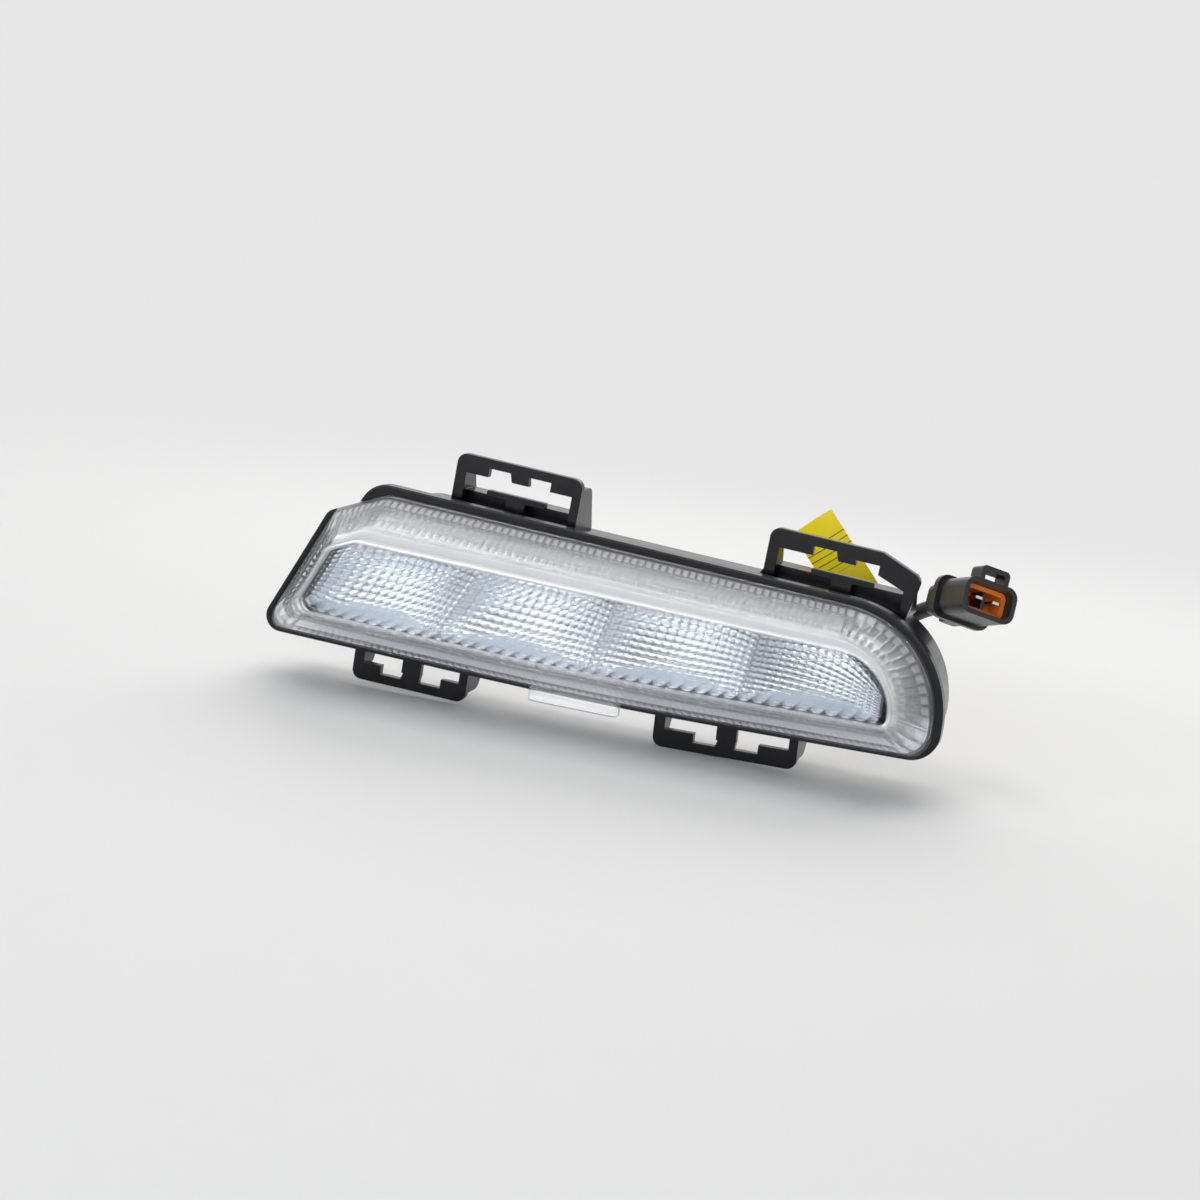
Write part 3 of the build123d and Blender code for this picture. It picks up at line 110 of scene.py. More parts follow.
# Bezel: skirt behind the flutes and the window over the four cells
BEZEL_BACK_Y = -1.5
BEZEL_FRONT = -13.5
BEZEL_WALL = 1.2
BEZEL_BACK_INSET = 6.0
BEZEL_FLANGE = 0.6
FLANGE_AIR = 0.5
BEZEL_AIR = 1.0
BEZEL_STEPS = 5
# Shares of the way from the skirt's back to its front: the ribs, their fade and the rounded edge
RIBS_FROM = 0.07
RIBS_TO = 0.9
RIBS_FADE = 0.02
EDGE_FROM = 0.94
# Rows of points on the ribs, the edge and the lip, then millimetres again
RIB_ROWS = 7
EDGE_ROWS = 5
LIP_ROWS = 9
SKIRT_RELIEF = 0.01
EDGE_WIDTH = 0.6
LIP_MARGIN = 0.15
WINDOW_INSETS = np.array([10.7, 10.7, 15.0, 16.0, 12.0, 10.0])
WINDOW_RADII = np.array([3.0, SAG_RADIUS, 3.0, 20.0, 5.0, 4.0])

# Reflector: four dishes side by side
CELL_EDGES_X = np.array([-86.0, -41.4, 4.5, 50.0, 90.5])
CELL_EDGES_SLANT = np.array([0.488, 0.53, 0.267, 0.168, 0.0])
REFLECTOR_SHELL = 1.8
REFLECTOR_BOTTOM_INSET = 10.9
REFLECTOR_TOP_INSET = 15.8
FLOOR_FRONT_Y = -11.0
FLOOR_SLOPE = 3.2
CORNER_START_X = -74.0
CORNER_RISE = 3.0
RIDGE_Y = -8.0
DISH_DEEPEST_Y = 4.6
DISH_DEEPEST_Z = -3.0
DISH_CURVE = 0.045
SWEEP_STARTS_X = np.array([-66.0, 62.0])
SWEEP_DROPS = np.array([5.0, 9.0])
BACK_ROWS = 25
# Where the painted shade between beads begins, in the sum of the squared places across and up a bead
GROOVE_SHADE_FROM = 0.3

# Lead: the points that the sleeve bends round, from the grommet to the connector, in millimetres
LEAD_POINTS = (
    (68.0, 25.5, -10.0),
    (68.0, 41.5, -10.0),
    (76.642, 54.581, -0.18),
    (90.256, 54.581, 10.816),
    (99.509, 43.487, 14.853),
)
LEAD_DIAMETER = 5.0

# Label: direction along it, and the plain bars across it, in millimetres
LABEL_WAY = (-0.68, 0.10, 0.73)
BARS_FROM = -24.0
BARS_TO = -12.0
BAR_PITCH = 2.2
BAR_WIDTH = 0.3

# Where finishes change, in millimetres: the lens wall turns milky behind the front's inside, the bezel's
# band ends behind its front, its lower skirt with painted light begins, and the paint that darkens its foot
# ends in front of the rim
MILKY_BEHIND = (0.8, 3.3)
BAND_BEHIND = (1.3, 0.5)
LOW_SKIRT_Z = (-10.0, -14.0)
DARK_FOOT = (2.0, 0.6)

# Colours of single finishes
CLEAR_TINT = (0.985, 0.99, 1.0)
MILKY_TINT = (0.90, 0.92, 0.94)
STUD_TINT = (0.72, 0.74, 0.77)
# Painted shade between the flutes of the lens
FLUTE_GAP_SHADE_TINT = (0.08, 0.08, 0.11)
LIGHT_THROUGH = (0.95, 0.96, 0.98)
# Dark paint on the foot of the bezel's upper skirt
FOOT_DARK_TINT = (0.03, 0.03, 0.04)
# Painted shade in the grooves between the bezel's ribs
RIB_GROOVE_SHADE = (0.06, 0.06, 0.08)
FLOOR_TINT = (0.58, 0.65, 0.73)
# Painted shade between the reflector's beads and between the scallops of its floor's edge
BEAD_GROOVE_SHADE = (0.34, 0.39, 0.45)
BAR_INK = (0.05, 0.045, 0.02)
# Refraction of the lens, and levels of painted shade on the bright colour of the bezel's upper skirt and band
CLEAR_IOR = 1.49
UPPER_SKIRT_SHADE = 0.45
BAND_SHADE = 0.58

# Stage, in metres: floor disc with its rise and wall, and each softbox's place, size and colour
GROUND_RADIUS = 1.9
GROUND_RISE = 0.55
GROUND_WALL = 1.6
WALL_LEVEL = 0.6
WALL_SWING = 1.6
GROUND_RINGS = (0.05, 0.4, 0.9)
GROUND_SECTORS = 96
RISE_ROWS = 13
EVEN_SPREAD = 2.4
SOFTBOXES = {
    "key": ((-0.05, 0.15, 1.10), (1.0, 0.8), (1.0, 0.985, 0.96)),
    "rear": ((0.0, 1.25, 0.95), (1.8, 1.0), (1.0, 0.99, 0.98)),
    "front": ((-0.2, -1.2, 0.26), (1.8, 0.56), (0.97, 0.98, 1.0)),
}


class LensSizes(bpy.types.PropertyGroup):
    """Sizes of the clear lens."""

    flute_pitch: FloatProperty(
        name="Flute pitch", description="Width of one flute inside the wall", default=0.0023, unit="LENGTH"
    )
    round_pitch: FloatProperty(
        name="Round end pitch", description="Width of one flute at the rounded end",
        default=0.0033, unit="LENGTH",
    )
    flute_depth: FloatProperty(
        name="Flute depth", description="How far a flute stands into the lamp", default=0.0005, unit="LENGTH"
    )
    edge_radius: FloatProperty(
        name="Edge radius", description="Rounding of the front edge", default=0.0012, unit="LENGTH"
    )


class BezelSizes(bpy.types.PropertyGroup):
    """Sizes of the bright bezel."""

    rib_pitch: FloatProperty(
        name="Rib pitch", description="Width of one fine rib on the skirt", default=0.0021, unit="LENGTH"
    )
    rib_height: FloatProperty(
        name="Rib height", description="Depth of the grooves between ribs", default=0.00014, unit="LENGTH"
    )
    flute_pitch: FloatProperty(
        name="Flute pitch", description="Width of one flute at the rounded end", default=0.0033, unit="LENGTH"
    )
    flute_depth: FloatProperty(
        name="Flute depth", description="Depth of one flute at the rounded end", default=0.0006, unit="LENGTH"
    )
    lip_height: FloatProperty(
        name="Lip height", description="How far the lip stands forward", default=0.0006, unit="LENGTH"
    )
    lip_width: FloatProperty(
        name="Lip width", description="Width of the lip round the window", default=0.0016, unit="LENGTH"
    )


class ReflectorSizes(bpy.types.PropertyGroup):
    """Sizes of the beaded reflector."""

    beads_across: IntProperty(name="Beads across", description="Beads across one cell", default=17, min=2)
    beads_up: IntProperty(name="Beads up", description="Beads from front edge to top edge", default=12, min=2)
    bead_steps: IntProperty(name="Bead steps", description="Faces along one side of a bead", default=8, min=2)
    bead_height: FloatProperty(
        name="Bead height", description="Crown of one bead", default=0.0008, unit="LENGTH"
    )
    row_tilt: FloatProperty(
        name="Row tilt", description="How far the planes of the bead rows lean",
        default=radians(10.0), subtype="ANGLE",
    )
    row_fade: FloatProperty(
        name="Row fade", description="Share of the height over which that lean begins and ends",
        default=0.3, min=0.1,
    )
    ridge_share: FloatProperty(
        name="Ridge share", description="Part of half a cell that rounds into its neighbour",
        default=0.06, min=0.01,
    )
    ridge_crown: FloatProperty(
        name="Ridge crown", description="How much more the beads stand out where two cells meet",
        default=1.0, min=0.0,
    )
    scallop_pitch: FloatProperty(
        name="Scallop pitch", description="Width of one scallop on the floor's edge",
        default=0.0044, unit="LENGTH",
    )
    scallop_depth: FloatProperty(
        name="Scallop depth", description="How far one scallop stands out", default=0.0010, unit="LENGTH"
    )
    scallop_reach: FloatProperty(
        name="Scallop reach", description="Height of a scallop above the edge", default=0.0008, unit="LENGTH"
    )


class FinishColours(bpy.types.PropertyGroup):
    """Colours that a user would change."""

    housing: FloatVectorProperty(
        name="Housing", description="Black moulded plastic", default=(0.004, 0.004, 0.006), subtype="COLOR"
    )
    bright: FloatVectorProperty(
        name="Bright metal", description="Metallised bezel and reflector",
        default=(0.93, 0.94, 0.95), subtype="COLOR",
    )
    label: FloatVectorProperty(
        name="Label", description="Film of the lead's label", default=(0.95, 0.76, 0.006), subtype="COLOR"
    )
    retainer: FloatVectorProperty(
        name="Retainer", description="Lock inside the connector", default=(0.80, 0.20, 0.02), subtype="COLOR"
    )


class StageSettings(bpy.types.PropertyGroup):
    """Camera, floor and lights."""

    azimuth: FloatProperty(
        name="Azimuth", description="Camera's turn to the right", default=radians(16.0), subtype="ANGLE"
    )
    elevation: FloatProperty(
        name="Elevation", description="Camera's height", default=radians(10.5), subtype="ANGLE"
    )
    roll: FloatProperty(
        name="Roll", description="Camera's tilt about its view", default=radians(7.724), subtype="ANGLE"
    )
    distance: FloatProperty(
        name="Distance", description="From camera to target", default=0.758, unit="LENGTH"
    )
    target: FloatVectorProperty(
        name="Target", description="Middle of the picture", default=(-0.000331, 0.0, 0.00378), subtype="XYZ"
    )
    focal_length: FloatProperty(
        name="Focal length", description="Of the lens, in millimetres", default=75.0, unit="CAMERA"
    )
    floor: FloatVectorProperty(
        name="Floor", description="Pale floor and backdrop", default=(0.80, 0.80, 0.80), subtype="COLOR"
    )
    sky: FloatVectorProperty(
        name="Sky", description="Light from all round", default=(0.86, 0.92, 1.0), subtype="COLOR"
    )
    sky_strength: FloatProperty(name="Sky strength", description="Level of that light", default=0.10)
    key_power: FloatProperty(name="Key power", description="Softbox overhead", default=6.7, unit="POWER")
    rear_power: FloatProperty(name="Rear power", description="Softbox behind", default=15.5, unit="POWER")
    front_power: FloatProperty(name="Front power", description="Low softbox", default=13.5, unit="POWER")
    even_from: FloatProperty(
        name="Even from", description="Where the floor becomes an even backdrop", default=0.28, unit="LENGTH"
    )


def feed(tree, slot, value):
    """Links a flow to a socket, or sets the socket's own value."""
    if isinstance(value, Flow):
        tree.links.new(value.socket, slot)
    elif slot.type == "RGBA" and len(value) == 3:
        slot.default_value = (*value, 1.0)
    else:
        slot.default_value = value


def math_step(operation, swapped=False):
    """Operator of a flow that adds one Math node."""

    def step(self, other):
        made = self.tree.nodes.new("ShaderNodeMath")
        made.operation = operation
        for slot, value in zip(made.inputs, (other, self) if swapped else (self, other)):
            feed(self.tree, slot, value)
        return Flow(self.tree, made.outputs[0])

    return step


class Flow:
    """A shader socket that can be used in sums."""

    def __init__(self, tree, socket):
        self.tree = tree
        self.socket = socket

    __add__ = math_step("ADD")
    __radd__ = math_step("ADD", swapped=True)
    __rsub__ = math_step("SUBTRACT", swapped=True)
    __mul__ = math_step("MULTIPLY")
    __rmul__ = math_step("MULTIPLY", swapped=True)
    __gt__ = math_step("GREATER_THAN")
    __lt__ = math_step("LESS_THAN")
    __mod__ = math_step("FLOORED_MODULO")


class Finish:
    """A material or world under construction; node() adds any node, with its settings first and then its
    sockets, each by its name or by i and its number."""

    def __init__(self, name, kind="materials"):
        self.made = getattr(bpy.data, kind).new(name)
        self.made.use_nodes = True
        self.tree = self.made.node_tree
        self.tree.nodes.clear()

    def node(self, kind, settings=None, out=0, **sockets):
        made = self.tree.nodes.new(kind)
        for key, value in (settings or {}).items():
            setattr(made, key, value)
        for key, value in sockets.items():
            socket = int(key[1:]) if key[1:].isdigit() else key.replace("_", " ")
            feed(self.tree, made.inputs[socket], value)
        return Flow(self.tree, made.outputs[out]) if made.outputs else None

    def place(self):
        return self.node("ShaderNodeTexCoord", out="Object")

    def noise(self, scale, detail=2.0, vector=None):
        return self.node(
            "ShaderNodeTexNoise", Vector=vector or self.place(), Scale=scale, Detail=detail, out="Fac"
        )

    def blend(self, share, first, second):
        """Colour part of the way from first to second."""
        return self.node("ShaderNodeMix", {"data_type": "RGBA"}, out=2, i0=share, i6=first, i7=second)

    def ramp(self, axis, start, end):
        """Nought to one between two places along an axis, in millimetres."""
        along = self.node("ShaderNodeSeparateXYZ", Vector=self.place(), out=axis)
        return self.node("ShaderNodeMapRange", Value=along, From_Min=start * MM, From_Max=end * MM)

    def bump(self, height, distance, **sockets):
        return self.node("ShaderNodeBump", Height=height, Distance=distance, Strength=1.0, **sockets)

    def surface(self, shader, output="ShaderNodeOutputMaterial"):
        self.node(output, Surface=shader)
        return self.made

    def backdrop_rays(self):
        """One for rays that show the backdrop: from the camera, off a gloss or through a clear piece."""
        rays = ("Is Camera Ray", "Is Glossy Ray", "Is Transmission Ray")
        camera, glossy, through = (self.node("ShaderNodeLightPath", out=ray) for ray in rays)
        return (camera + glossy + through) > 0.5

    def share(self, name):
        """Share from nought to one that closed_piece() stored on the mesh, nought where it stored none."""
        return self.node("ShaderNodeAttribute", {"attribute_name": name}, out="Fac")

    def principled(self, **sockets):
        return self.node("ShaderNodeBsdfPrincipled", **sockets)


def moulded(name, colour, second, roughness, grain, depth, specular=0.5, edge=0.2):
    """Moulded or rubber-like finish: two close colours in soft clouds, satin gloss, fine grain, and
    edges that catch the light as if rounded.  Grain, its depth and the edges are in millimetres."""
    make = Finish(name)
    clouds = make.noise(60.0, 4.0)
    specks = make.noise(1.0 / (grain * MM), 3.0)
    rounded = make.node("ShaderNodeBevel", {"samples": 6}, Radius=edge * MM)
    return make.surface(make.principled(
        Base_Color=make.blend(clouds, colour, second),
        Roughness=roughness - 0.08 + 0.16 * make.noise(220.0, 3.0),
        Normal=make.bump(specks, depth * MM, Normal=rounded),
        Specular_IOR_Level=specular,
    ))


def metal(name, colour, second, roughness, grain, depth, stretch=(1.0, 1.0, 1.0)):
    """Bare or plated metal: faint clouds in the colour, gloss that varies, drawn or cast grain.  The grain
    and its depth are in millimetres."""
    make = Finish(name)
    drawn = make.node("ShaderNodeMapping", Vector=make.place(), Scale=stretch)
    specks = make.noise(1.0 / (grain * MM), 3.0, drawn)
    return make.surface(make.principled(
        Base_Color=make.blend(make.noise(90.0, 3.0), colour, second),
        Metallic=1.0,
        Roughness=roughness * 0.7 + roughness * 0.6 * specks,
        Normal=make.bump(specks, depth * MM),
    ))


def clear_plastic(name):
    """Clear moulded plastic: a clear front that refracts and is faintly wavy, a wall turned milky by its
    flutes, with painted shade between the flutes, strongest between the bright studs at the rim, and light
    let through to what is behind."""
    make = Finish(name)
    waves = make.bump(make.noise(45.0), 0.00002)
    gloss = 0.008 + 0.012 * make.noise(160.0, 3.0)
    front = make.principled(
        Base_Color=CLEAR_TINT, Roughness=gloss, IOR=CLEAR_IOR,
        Transmission_Weight=1.0, Alpha=0.25, Normal=waves,
    )
    # The milky wall carries painted shade between its flutes
    milky = make.principled(
        Base_Color=make.blend(make.share("gap"), MILKY_TINT, FLUTE_GAP_SHADE_TINT), Roughness=0.05 + gloss,
        IOR=CLEAR_IOR, Transmission_Weight=0.9, Alpha=0.85, Normal=waves,
    )
    stud = make.principled(Base_Color=STUD_TINT, Roughness=0.2, IOR=CLEAR_IOR, Transmission_Weight=0.35)
    wall = make.node("ShaderNodeMixShader", i0=0.65 * make.share("crest"), i1=milky, i2=stud)
    on_wall = make.ramp("Y", *(LENS_INSIDE_Y + y for y in MILKY_BEHIND))
    lens = make.node("ShaderNodeMixShader", i0=on_wall, i1=front, i2=wall)
    through = make.node("ShaderNodeBsdfTransparent", Color=LIGHT_THROUGH)
    shadow = make.node("ShaderNodeLightPath", out="Is Shadow Ray")
    return make.surface(make.node("ShaderNodeMixShader", i0=shadow, i1=lens, i2=through))


def placed(name, data):
    """New object in the scene with this data."""
    made = bpy.data.objects.new(name, data)
    bpy.context.scene.collection.objects.link(made)
    return made


def outwards(mesh):
    """Turns a closed mesh the right way out if its volume comes out negative."""
    corners = np.empty(len(mesh.vertices) * 3)
    mesh.vertices.foreach_get("co", corners)
    mesh.calc_loop_triangles()
    triangles = np.empty(len(mesh.loop_triangles) * 3, int)
    mesh.loop_triangles.foreach_get("vertices", triangles)
    a, b, c = corners.reshape(-1, 3)[triangles.reshape(-1, 3)].transpose(1, 0, 2)
    if np.einsum("ij,ij->i", a, np.cross(b, c)).sum() < 0:
        mesh.flip_normals()


def closed_piece(name, points, faces, shares, finish, slot, sharp=40.0):
    """Closed piece from points in millimetres and faces, smooth but for edges sharper than an angle.  Its
    shares, from nought to one, are stored on its points for its finish to read."""
    mesh = bpy.data.meshes.new(name)
    mesh.from_pydata((points * MM).tolist(), [], faces)
    mesh.validate()
    mesh.shade_smooth()
    mesh.set_sharp_from_angle(angle=radians(sharp))
    for key, share in shares.items():
        values = mesh.attributes.new(key, "FLOAT", "POINT").data
        values.foreach_set("value", share.ravel().astype(np.float32))
    outwards(mesh)
    mesh.materials.append(finish)
    piece = placed(name, mesh)
    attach(piece, BODY)
    return piece


def loop_faces(rings, count, closed=False):
    """Quads between neighbouring rings of count points, and from the last ring to the first if closed."""
    ring = np.arange(rings if closed else rings - 1)[:, None]
    step = np.arange(count)
    after = (step + 1) % count
    start, end = ring * count, (ring + 1) % rings * count
    quads = np.broadcast_arrays(start + step, start + after, end + after, end + step)
    return np.stack(quads, -1).reshape(-1, 4).tolist()


def capped_faces(rings, count):
    """Faces of a tube of rings, with a cap at each end."""
    around = np.arange(count)
    return loop_faces(rings, count) + [around[::-1].tolist(), (around + (rings - 1) * count).tolist()]


# The shoulder is where the line up from the left corner crosses the top
CORNER_X = RIM_LEFT + LEFT_SLANT * (CORNER_FOOT - RIM_LEFT_FOOT)
SHOULDER_X = (
    RIM_TOP_RIGHT - CORNER_FOOT + CORNER_SLOPE * CORNER_X + RIM_TOP_SLOPE * RIM_RIGHT
) / (CORNER_SLOPE + RIM_TOP_SLOPE)
HULL = np.array([
    (RIM_LEFT, RIM_LEFT_FOOT),
    (RIM_SAG_X, RIM_SAG),
    (RIM_RIGHT, RIM_RIGHT_FOOT),
    (RIM_RIGHT, RIM_TOP_RIGHT),
    (SHOULDER_X, CORNER_FOOT + CORNER_SLOPE * (SHOULDER_X - CORNER_X)),
    (CORNER_X, CORNER_FOOT),
])
# Where by_part() finds the straight runs (0) and the corners after them (1) of a stretch of the rim
PARTS = {
    "bottom": ([0, 0, 1], [0, 1, 0]),
    "round_end": ([1, 0, 1], [1, 2, 2]),
    "top": ([0, 1], [3, 3]),
    "left": ([0, 1, 0, 1], [4, 4, 5, 5]),
}


def inset_corners(insets):
    """Corners of the rim after each side moves inwards by its inset: where neighbouring lines cross."""
    side = np.roll(HULL, -1, 0) - HULL
    across = np.stack([-side[:, 1], side[:, 0]], 1) / np.linalg.norm(side, axis=1)[:, None]
    base = HULL + across * (insets * (1 - SIDE_TILTS))[:, None]
    run = side + across * (2 * insets * SIDE_TILTS)[:, None]
    before, heading = np.roll(base, 1, 0), np.roll(run, 1, 0)

    def area(a, b):
        return a[:, 0] * b[:, 1] - a[:, 1] * b[:, 0]

    share = area(base - before, run) / area(heading, run)
    return before + share[:, None] * heading


def rounded_runs(insets, radii):
    """Each side's straight run and the corner after it: start, heading, length, radius and turn.
    Two corners that would not fit on their shared side are made smaller together."""
    corners = inset_corners(insets)
    side = np.roll(corners, -1, 0) - corners
    length = np.linalg.norm(side, axis=1)
    heading = np.arctan2(side[:, 1], side[:, 0])
    turn = (heading - np.roll(heading, 1) + np.pi) % (2 * np.pi) - np.pi
    reach = np.asarray(radii) * np.abs(np.tan(turn / 2))
    spare = np.minimum(1.0, SIDE_SHARE * length / (reach + np.roll(reach, -1)))
    fitted = np.asarray(radii) * np.minimum(spare, np.roll(spare, 1))
    before = fitted * np.tan(turn / 2)
    start = corners + before[:, None] * np.stack([np.cos(heading), np.sin(heading)], 1)
    straight = length - before - np.roll(before, -1)
    return start, heading, straight, np.roll(fitted, -1), np.roll(turn, -1)


def by_part(common, **parts):
    """One value for every straight run and the corner after it, but for the parts named in PARTS."""
    values = np.full((2, len(HULL)), float(common))
    for name, value in parts.items():
        values[PARTS[name]] = value
    return values


def wave_counts(insets, radii, pitch):
    """Whole waves of about one pitch on each straight run and each corner."""
    start, heading, straight, radius, turn = rounded_runs(insets, radii)
    return np.maximum(1, np.rint(np.stack([straight, radius * turn]) / pitch)).astype(int)


def ring(insets, radii, counts, steps):
    """Points (x, z) of an inset outline and their inward directions.  Every run has its waves times steps
    points, so rings with the same counts join point to point."""
    points, inwards = [], []
    runs = zip(*rounded_runs(insets, radii), *counts)
    for start, heading, straight, radius, turn, on_run, on_corner in runs:
        way = np.array([np.cos(heading), np.sin(heading)])
        side = np.array([-way[1], way[0]])
        k = np.arange(on_run * steps)
        points.append(start + way * (straight * k / len(k))[:, None])
        inwards.append(np.broadcast_to(side, (len(k), 2)))
        k = np.arange(on_corner * steps)
        angle = heading + turn * k / len(k)
        outward = np.stack([np.sin(angle), -np.cos(angle)], 1)
        points.append(start + way * straight + side * radius + radius * outward)
        inwards.append(-outward)
    return np.concatenate(points), np.concatenate(inwards)


def arch(wave):
    """Parabola over one wave: nothing at both ends, one in the middle."""
    return 1 - (2 * wave - 1) ** 2


def profile_rings(profile, counts, steps):
    """Rings for rows of (y, insets, radii, wave height), as points (x, y, z), the arch of each point's wave
    and every row's wave heights.  A wave height is one number or one for each part.  A point moves inwards
    by its height times the arch of its wave."""
    rows, heights = [], []
    points = counts.T.ravel() * steps
    wave = arch(np.arange(points.sum()) % steps / steps)
    for y, insets, radii, height in profile:
        place, inwards = ring(insets, radii, counts, steps)
        heights.append(np.repeat(np.broadcast_to(height, counts.shape).T.ravel(), points))
        place = place + inwards * (heights[-1] * wave)[:, None]
        rows.append(np.stack([place[:, 0], np.full(len(place), y), place[:, 1]], 1))
    return np.concatenate(rows), wave, np.array(heights)


def lens_wall(y):
    """Insets and radii of the lens's outside at a place between its foot and its front."""
    share = max(0.0, (y + RIM_DEPTH) / (LENS_FRONT + RIM_DEPTH))
    insets = LENS_FOOT_INSETS + (LENS_FRONT_INSETS - LENS_FOOT_INSETS) * share
    return insets, LENS_FOOT_RADII + (LENS_FRONT_RADII - LENS_FOOT_RADII) * share


def rounded_edge(first, corner, last, steps):
    """Profile rows on a quadratic curve from first to last that turns at the corner row."""

    def row(t):
        parts = zip(first, corner, last)
        return tuple((1 - t) ** 2 * a + 2 * t * (1 - t) * b + t * t * c for a, b, c in parts)

    return [row(t) for t in np.linspace(0.0, 1.0, steps)]


class LampOperator:
    """Shared settings of the operators."""

    bl_options = {"REGISTER", "UNDO"}


class LAMP_OT_stage(LampOperator, bpy.types.Operator):
    """Camera at the photograph's angle, pale floor with a rising rim, soft lights"""

    bl_idname = "lamp.stage"
    bl_label = "Stage"

    def camera(self, stage):
        """Camera on a ball round the target, then turned about its own view."""
        a, e, r = stage.azimuth, stage.elevation, stage.roll
        view = Vector((np.cos(e) * np.sin(a), -np.cos(e) * np.cos(a), np.sin(e)))
        right = Vector((np.cos(a), np.sin(a), 0.0))
        up = view.cross(right)
        across = np.cos(r) * right + np.sin(r) * up
        upright = -np.sin(r) * right + np.cos(r) * up
        lens = bpy.data.cameras.new("camera")
        lens.lens = stage.focal_length
        lens.sensor_fit = "HORIZONTAL"
        lens.clip_start = 0.01
        camera = placed("camera", lens)
        turned = Matrix((across, upright, view)).transposed()
        place = Vector(stage.target) + stage.distance * view
        camera.matrix_world = Matrix.Translation(place) @ turned.to_4x4()
        bpy.context.scene.camera = camera

    def softbox(self, name, place, size, power, colour):
        """Rectangular lamp at a place that faces the origin."""
        lamp = bpy.data.lights.new(name, "AREA")
        lamp.shape = "RECTANGLE"
        lamp.size, lamp.size_y = size
        lamp.energy = power
        lamp.color = colour
        box = placed(name, lamp)
        box.location = place
        box.rotation_euler = Vector(place).to_track_quat("Z", "Y").to_euler()
        box.visible_camera = False

    def floor(self, stage):
        """Disc with a quarter-round rise to an upright wall behind the lamp; the wall sinks to the
        floor in front, by the sine of the turn."""
        bend = np.linspace(0.0, np.pi / 2, RISE_ROWS)
        rise_out = GROUND_RADIUS - GROUND_RISE + GROUND_RISE * np.sin(bend)
        rise_up = GROUND_RISE - GROUND_RISE * np.cos(bend)
        out = np.concatenate([GROUND_RINGS, rise_out, [GROUND_RADIUS]])
        up = np.concatenate([np.zeros(len(GROUND_RINGS)), rise_up, [GROUND_WALL]])
        turn = np.linspace(0.0, 2 * np.pi, GROUND_SECTORS, endpoint=False)
        behind = np.clip(WALL_LEVEL + WALL_SWING * np.sin(turn), 0.0, 1.0)
        heights = np.outer(up, behind) + CAD_LOW[2]
        points = np.stack([np.outer(out, np.cos(turn)), np.outer(out, np.sin(turn)), heights], -1)
        faces = loop_faces(len(out), GROUND_SECTORS) + [list(range(GROUND_SECTORS))[::-1]]
        mesh = bpy.data.meshes.new("floor")
        mesh.from_pydata(points.reshape(-1, 3).tolist(), [], faces)
        mesh.flip_normals()
        mesh.shade_smooth()
        mesh.materials.append(self.floor_finish(stage))
        ground = placed("floor", mesh)

    def floor_finish(self, stage):
        """Pale floor that keeps the shadow near the lamp and is an even backdrop further away."""
        make = Finish("pale_floor")
        plain = make.principled(
            Base_Color=make.blend(make.noise(6.0, 3.0), stage.floor, [c * 0.985 for c in stage.floor]),
            Roughness=0.7 + 0.1 * make.noise(40.0, 2.0),
            Specular_IOR_Level=0.2,
        )
        away = make.node("ShaderNodeVectorMath", {"operation": "LENGTH"}, out="Value", i0=make.place())
        far = make.node(
            "ShaderNodeMapRange", {"interpolation_type": "SMOOTHSTEP"},
            Value=away, From_Min=stage.even_from, From_Max=EVEN_SPREAD * stage.even_from,
        )
        even = make.node("ShaderNodeEmission", Color=stage.floor)
        shown = far * make.backdrop_rays()
        return make.surface(make.node("ShaderNodeMixShader", i0=shown, i1=plain, i2=even))

    def sky(self, stage):
        """Even light from all round, which looks as pale as the floor wherever it is seen."""
        make = Finish("sky", "worlds")
        lit = make.node("ShaderNodeBackground", Color=stage.sky, Strength=stage.sky_strength)
        seen = make.node("ShaderNodeBackground", Color=stage.floor)
        shown = make.node("ShaderNodeMixShader", i0=make.backdrop_rays(), i1=lit, i2=seen)
        bpy.context.scene.world = make.surface(shown, "ShaderNodeOutputWorld")

    def execute(self, context):
        stage = context.scene.lamp_stage
        self.camera(stage)
        self.floor(stage)
        for name, (place, size, colour) in SOFTBOXES.items():
            power = getattr(stage, f"{name}_power")
            self.softbox(f"{name}_softbox", place, size, power, colour)
        self.sky(stage)
        context.scene.view_settings.view_transform = "Standard"
        return {"FINISHED"}


class LAMP_OT_lead(LampOperator, bpy.types.Operator):
    """Sleeved lead from the grommet to the connector, one smooth spline"""

    bl_idname = "lamp.lead"
    bl_label = "Lead"

    def execute(self, context):
        line = bpy.data.curves.new("lead", "CURVE")
        line.dimensions = "3D"
        line.bevel_depth = LEAD_DIAMETER / 2 * MM
        line.bevel_resolution = 8
        line.use_fill_caps = True
        spline = line.splines.new("NURBS")
        spline.points.add(len(LEAD_POINTS) - 1)
        for point, place in zip(spline.points, LEAD_POINTS):
            point.co = (*(c * MM for c in place), 1.0)
        spline.order_u = 3
        spline.use_endpoint_u = True
        spline.resolution_u = 24
        line.materials.append(moulded(
            "lead_sleeve", (0.02, 0.02, 0.022), (0.03, 0.03, 0.033), roughness=0.45, grain=0.6, depth=0.06
        ))
        lead = placed("lead", line)
        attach(lead, BODY)
        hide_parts("cable")
        return {"FINISHED"}


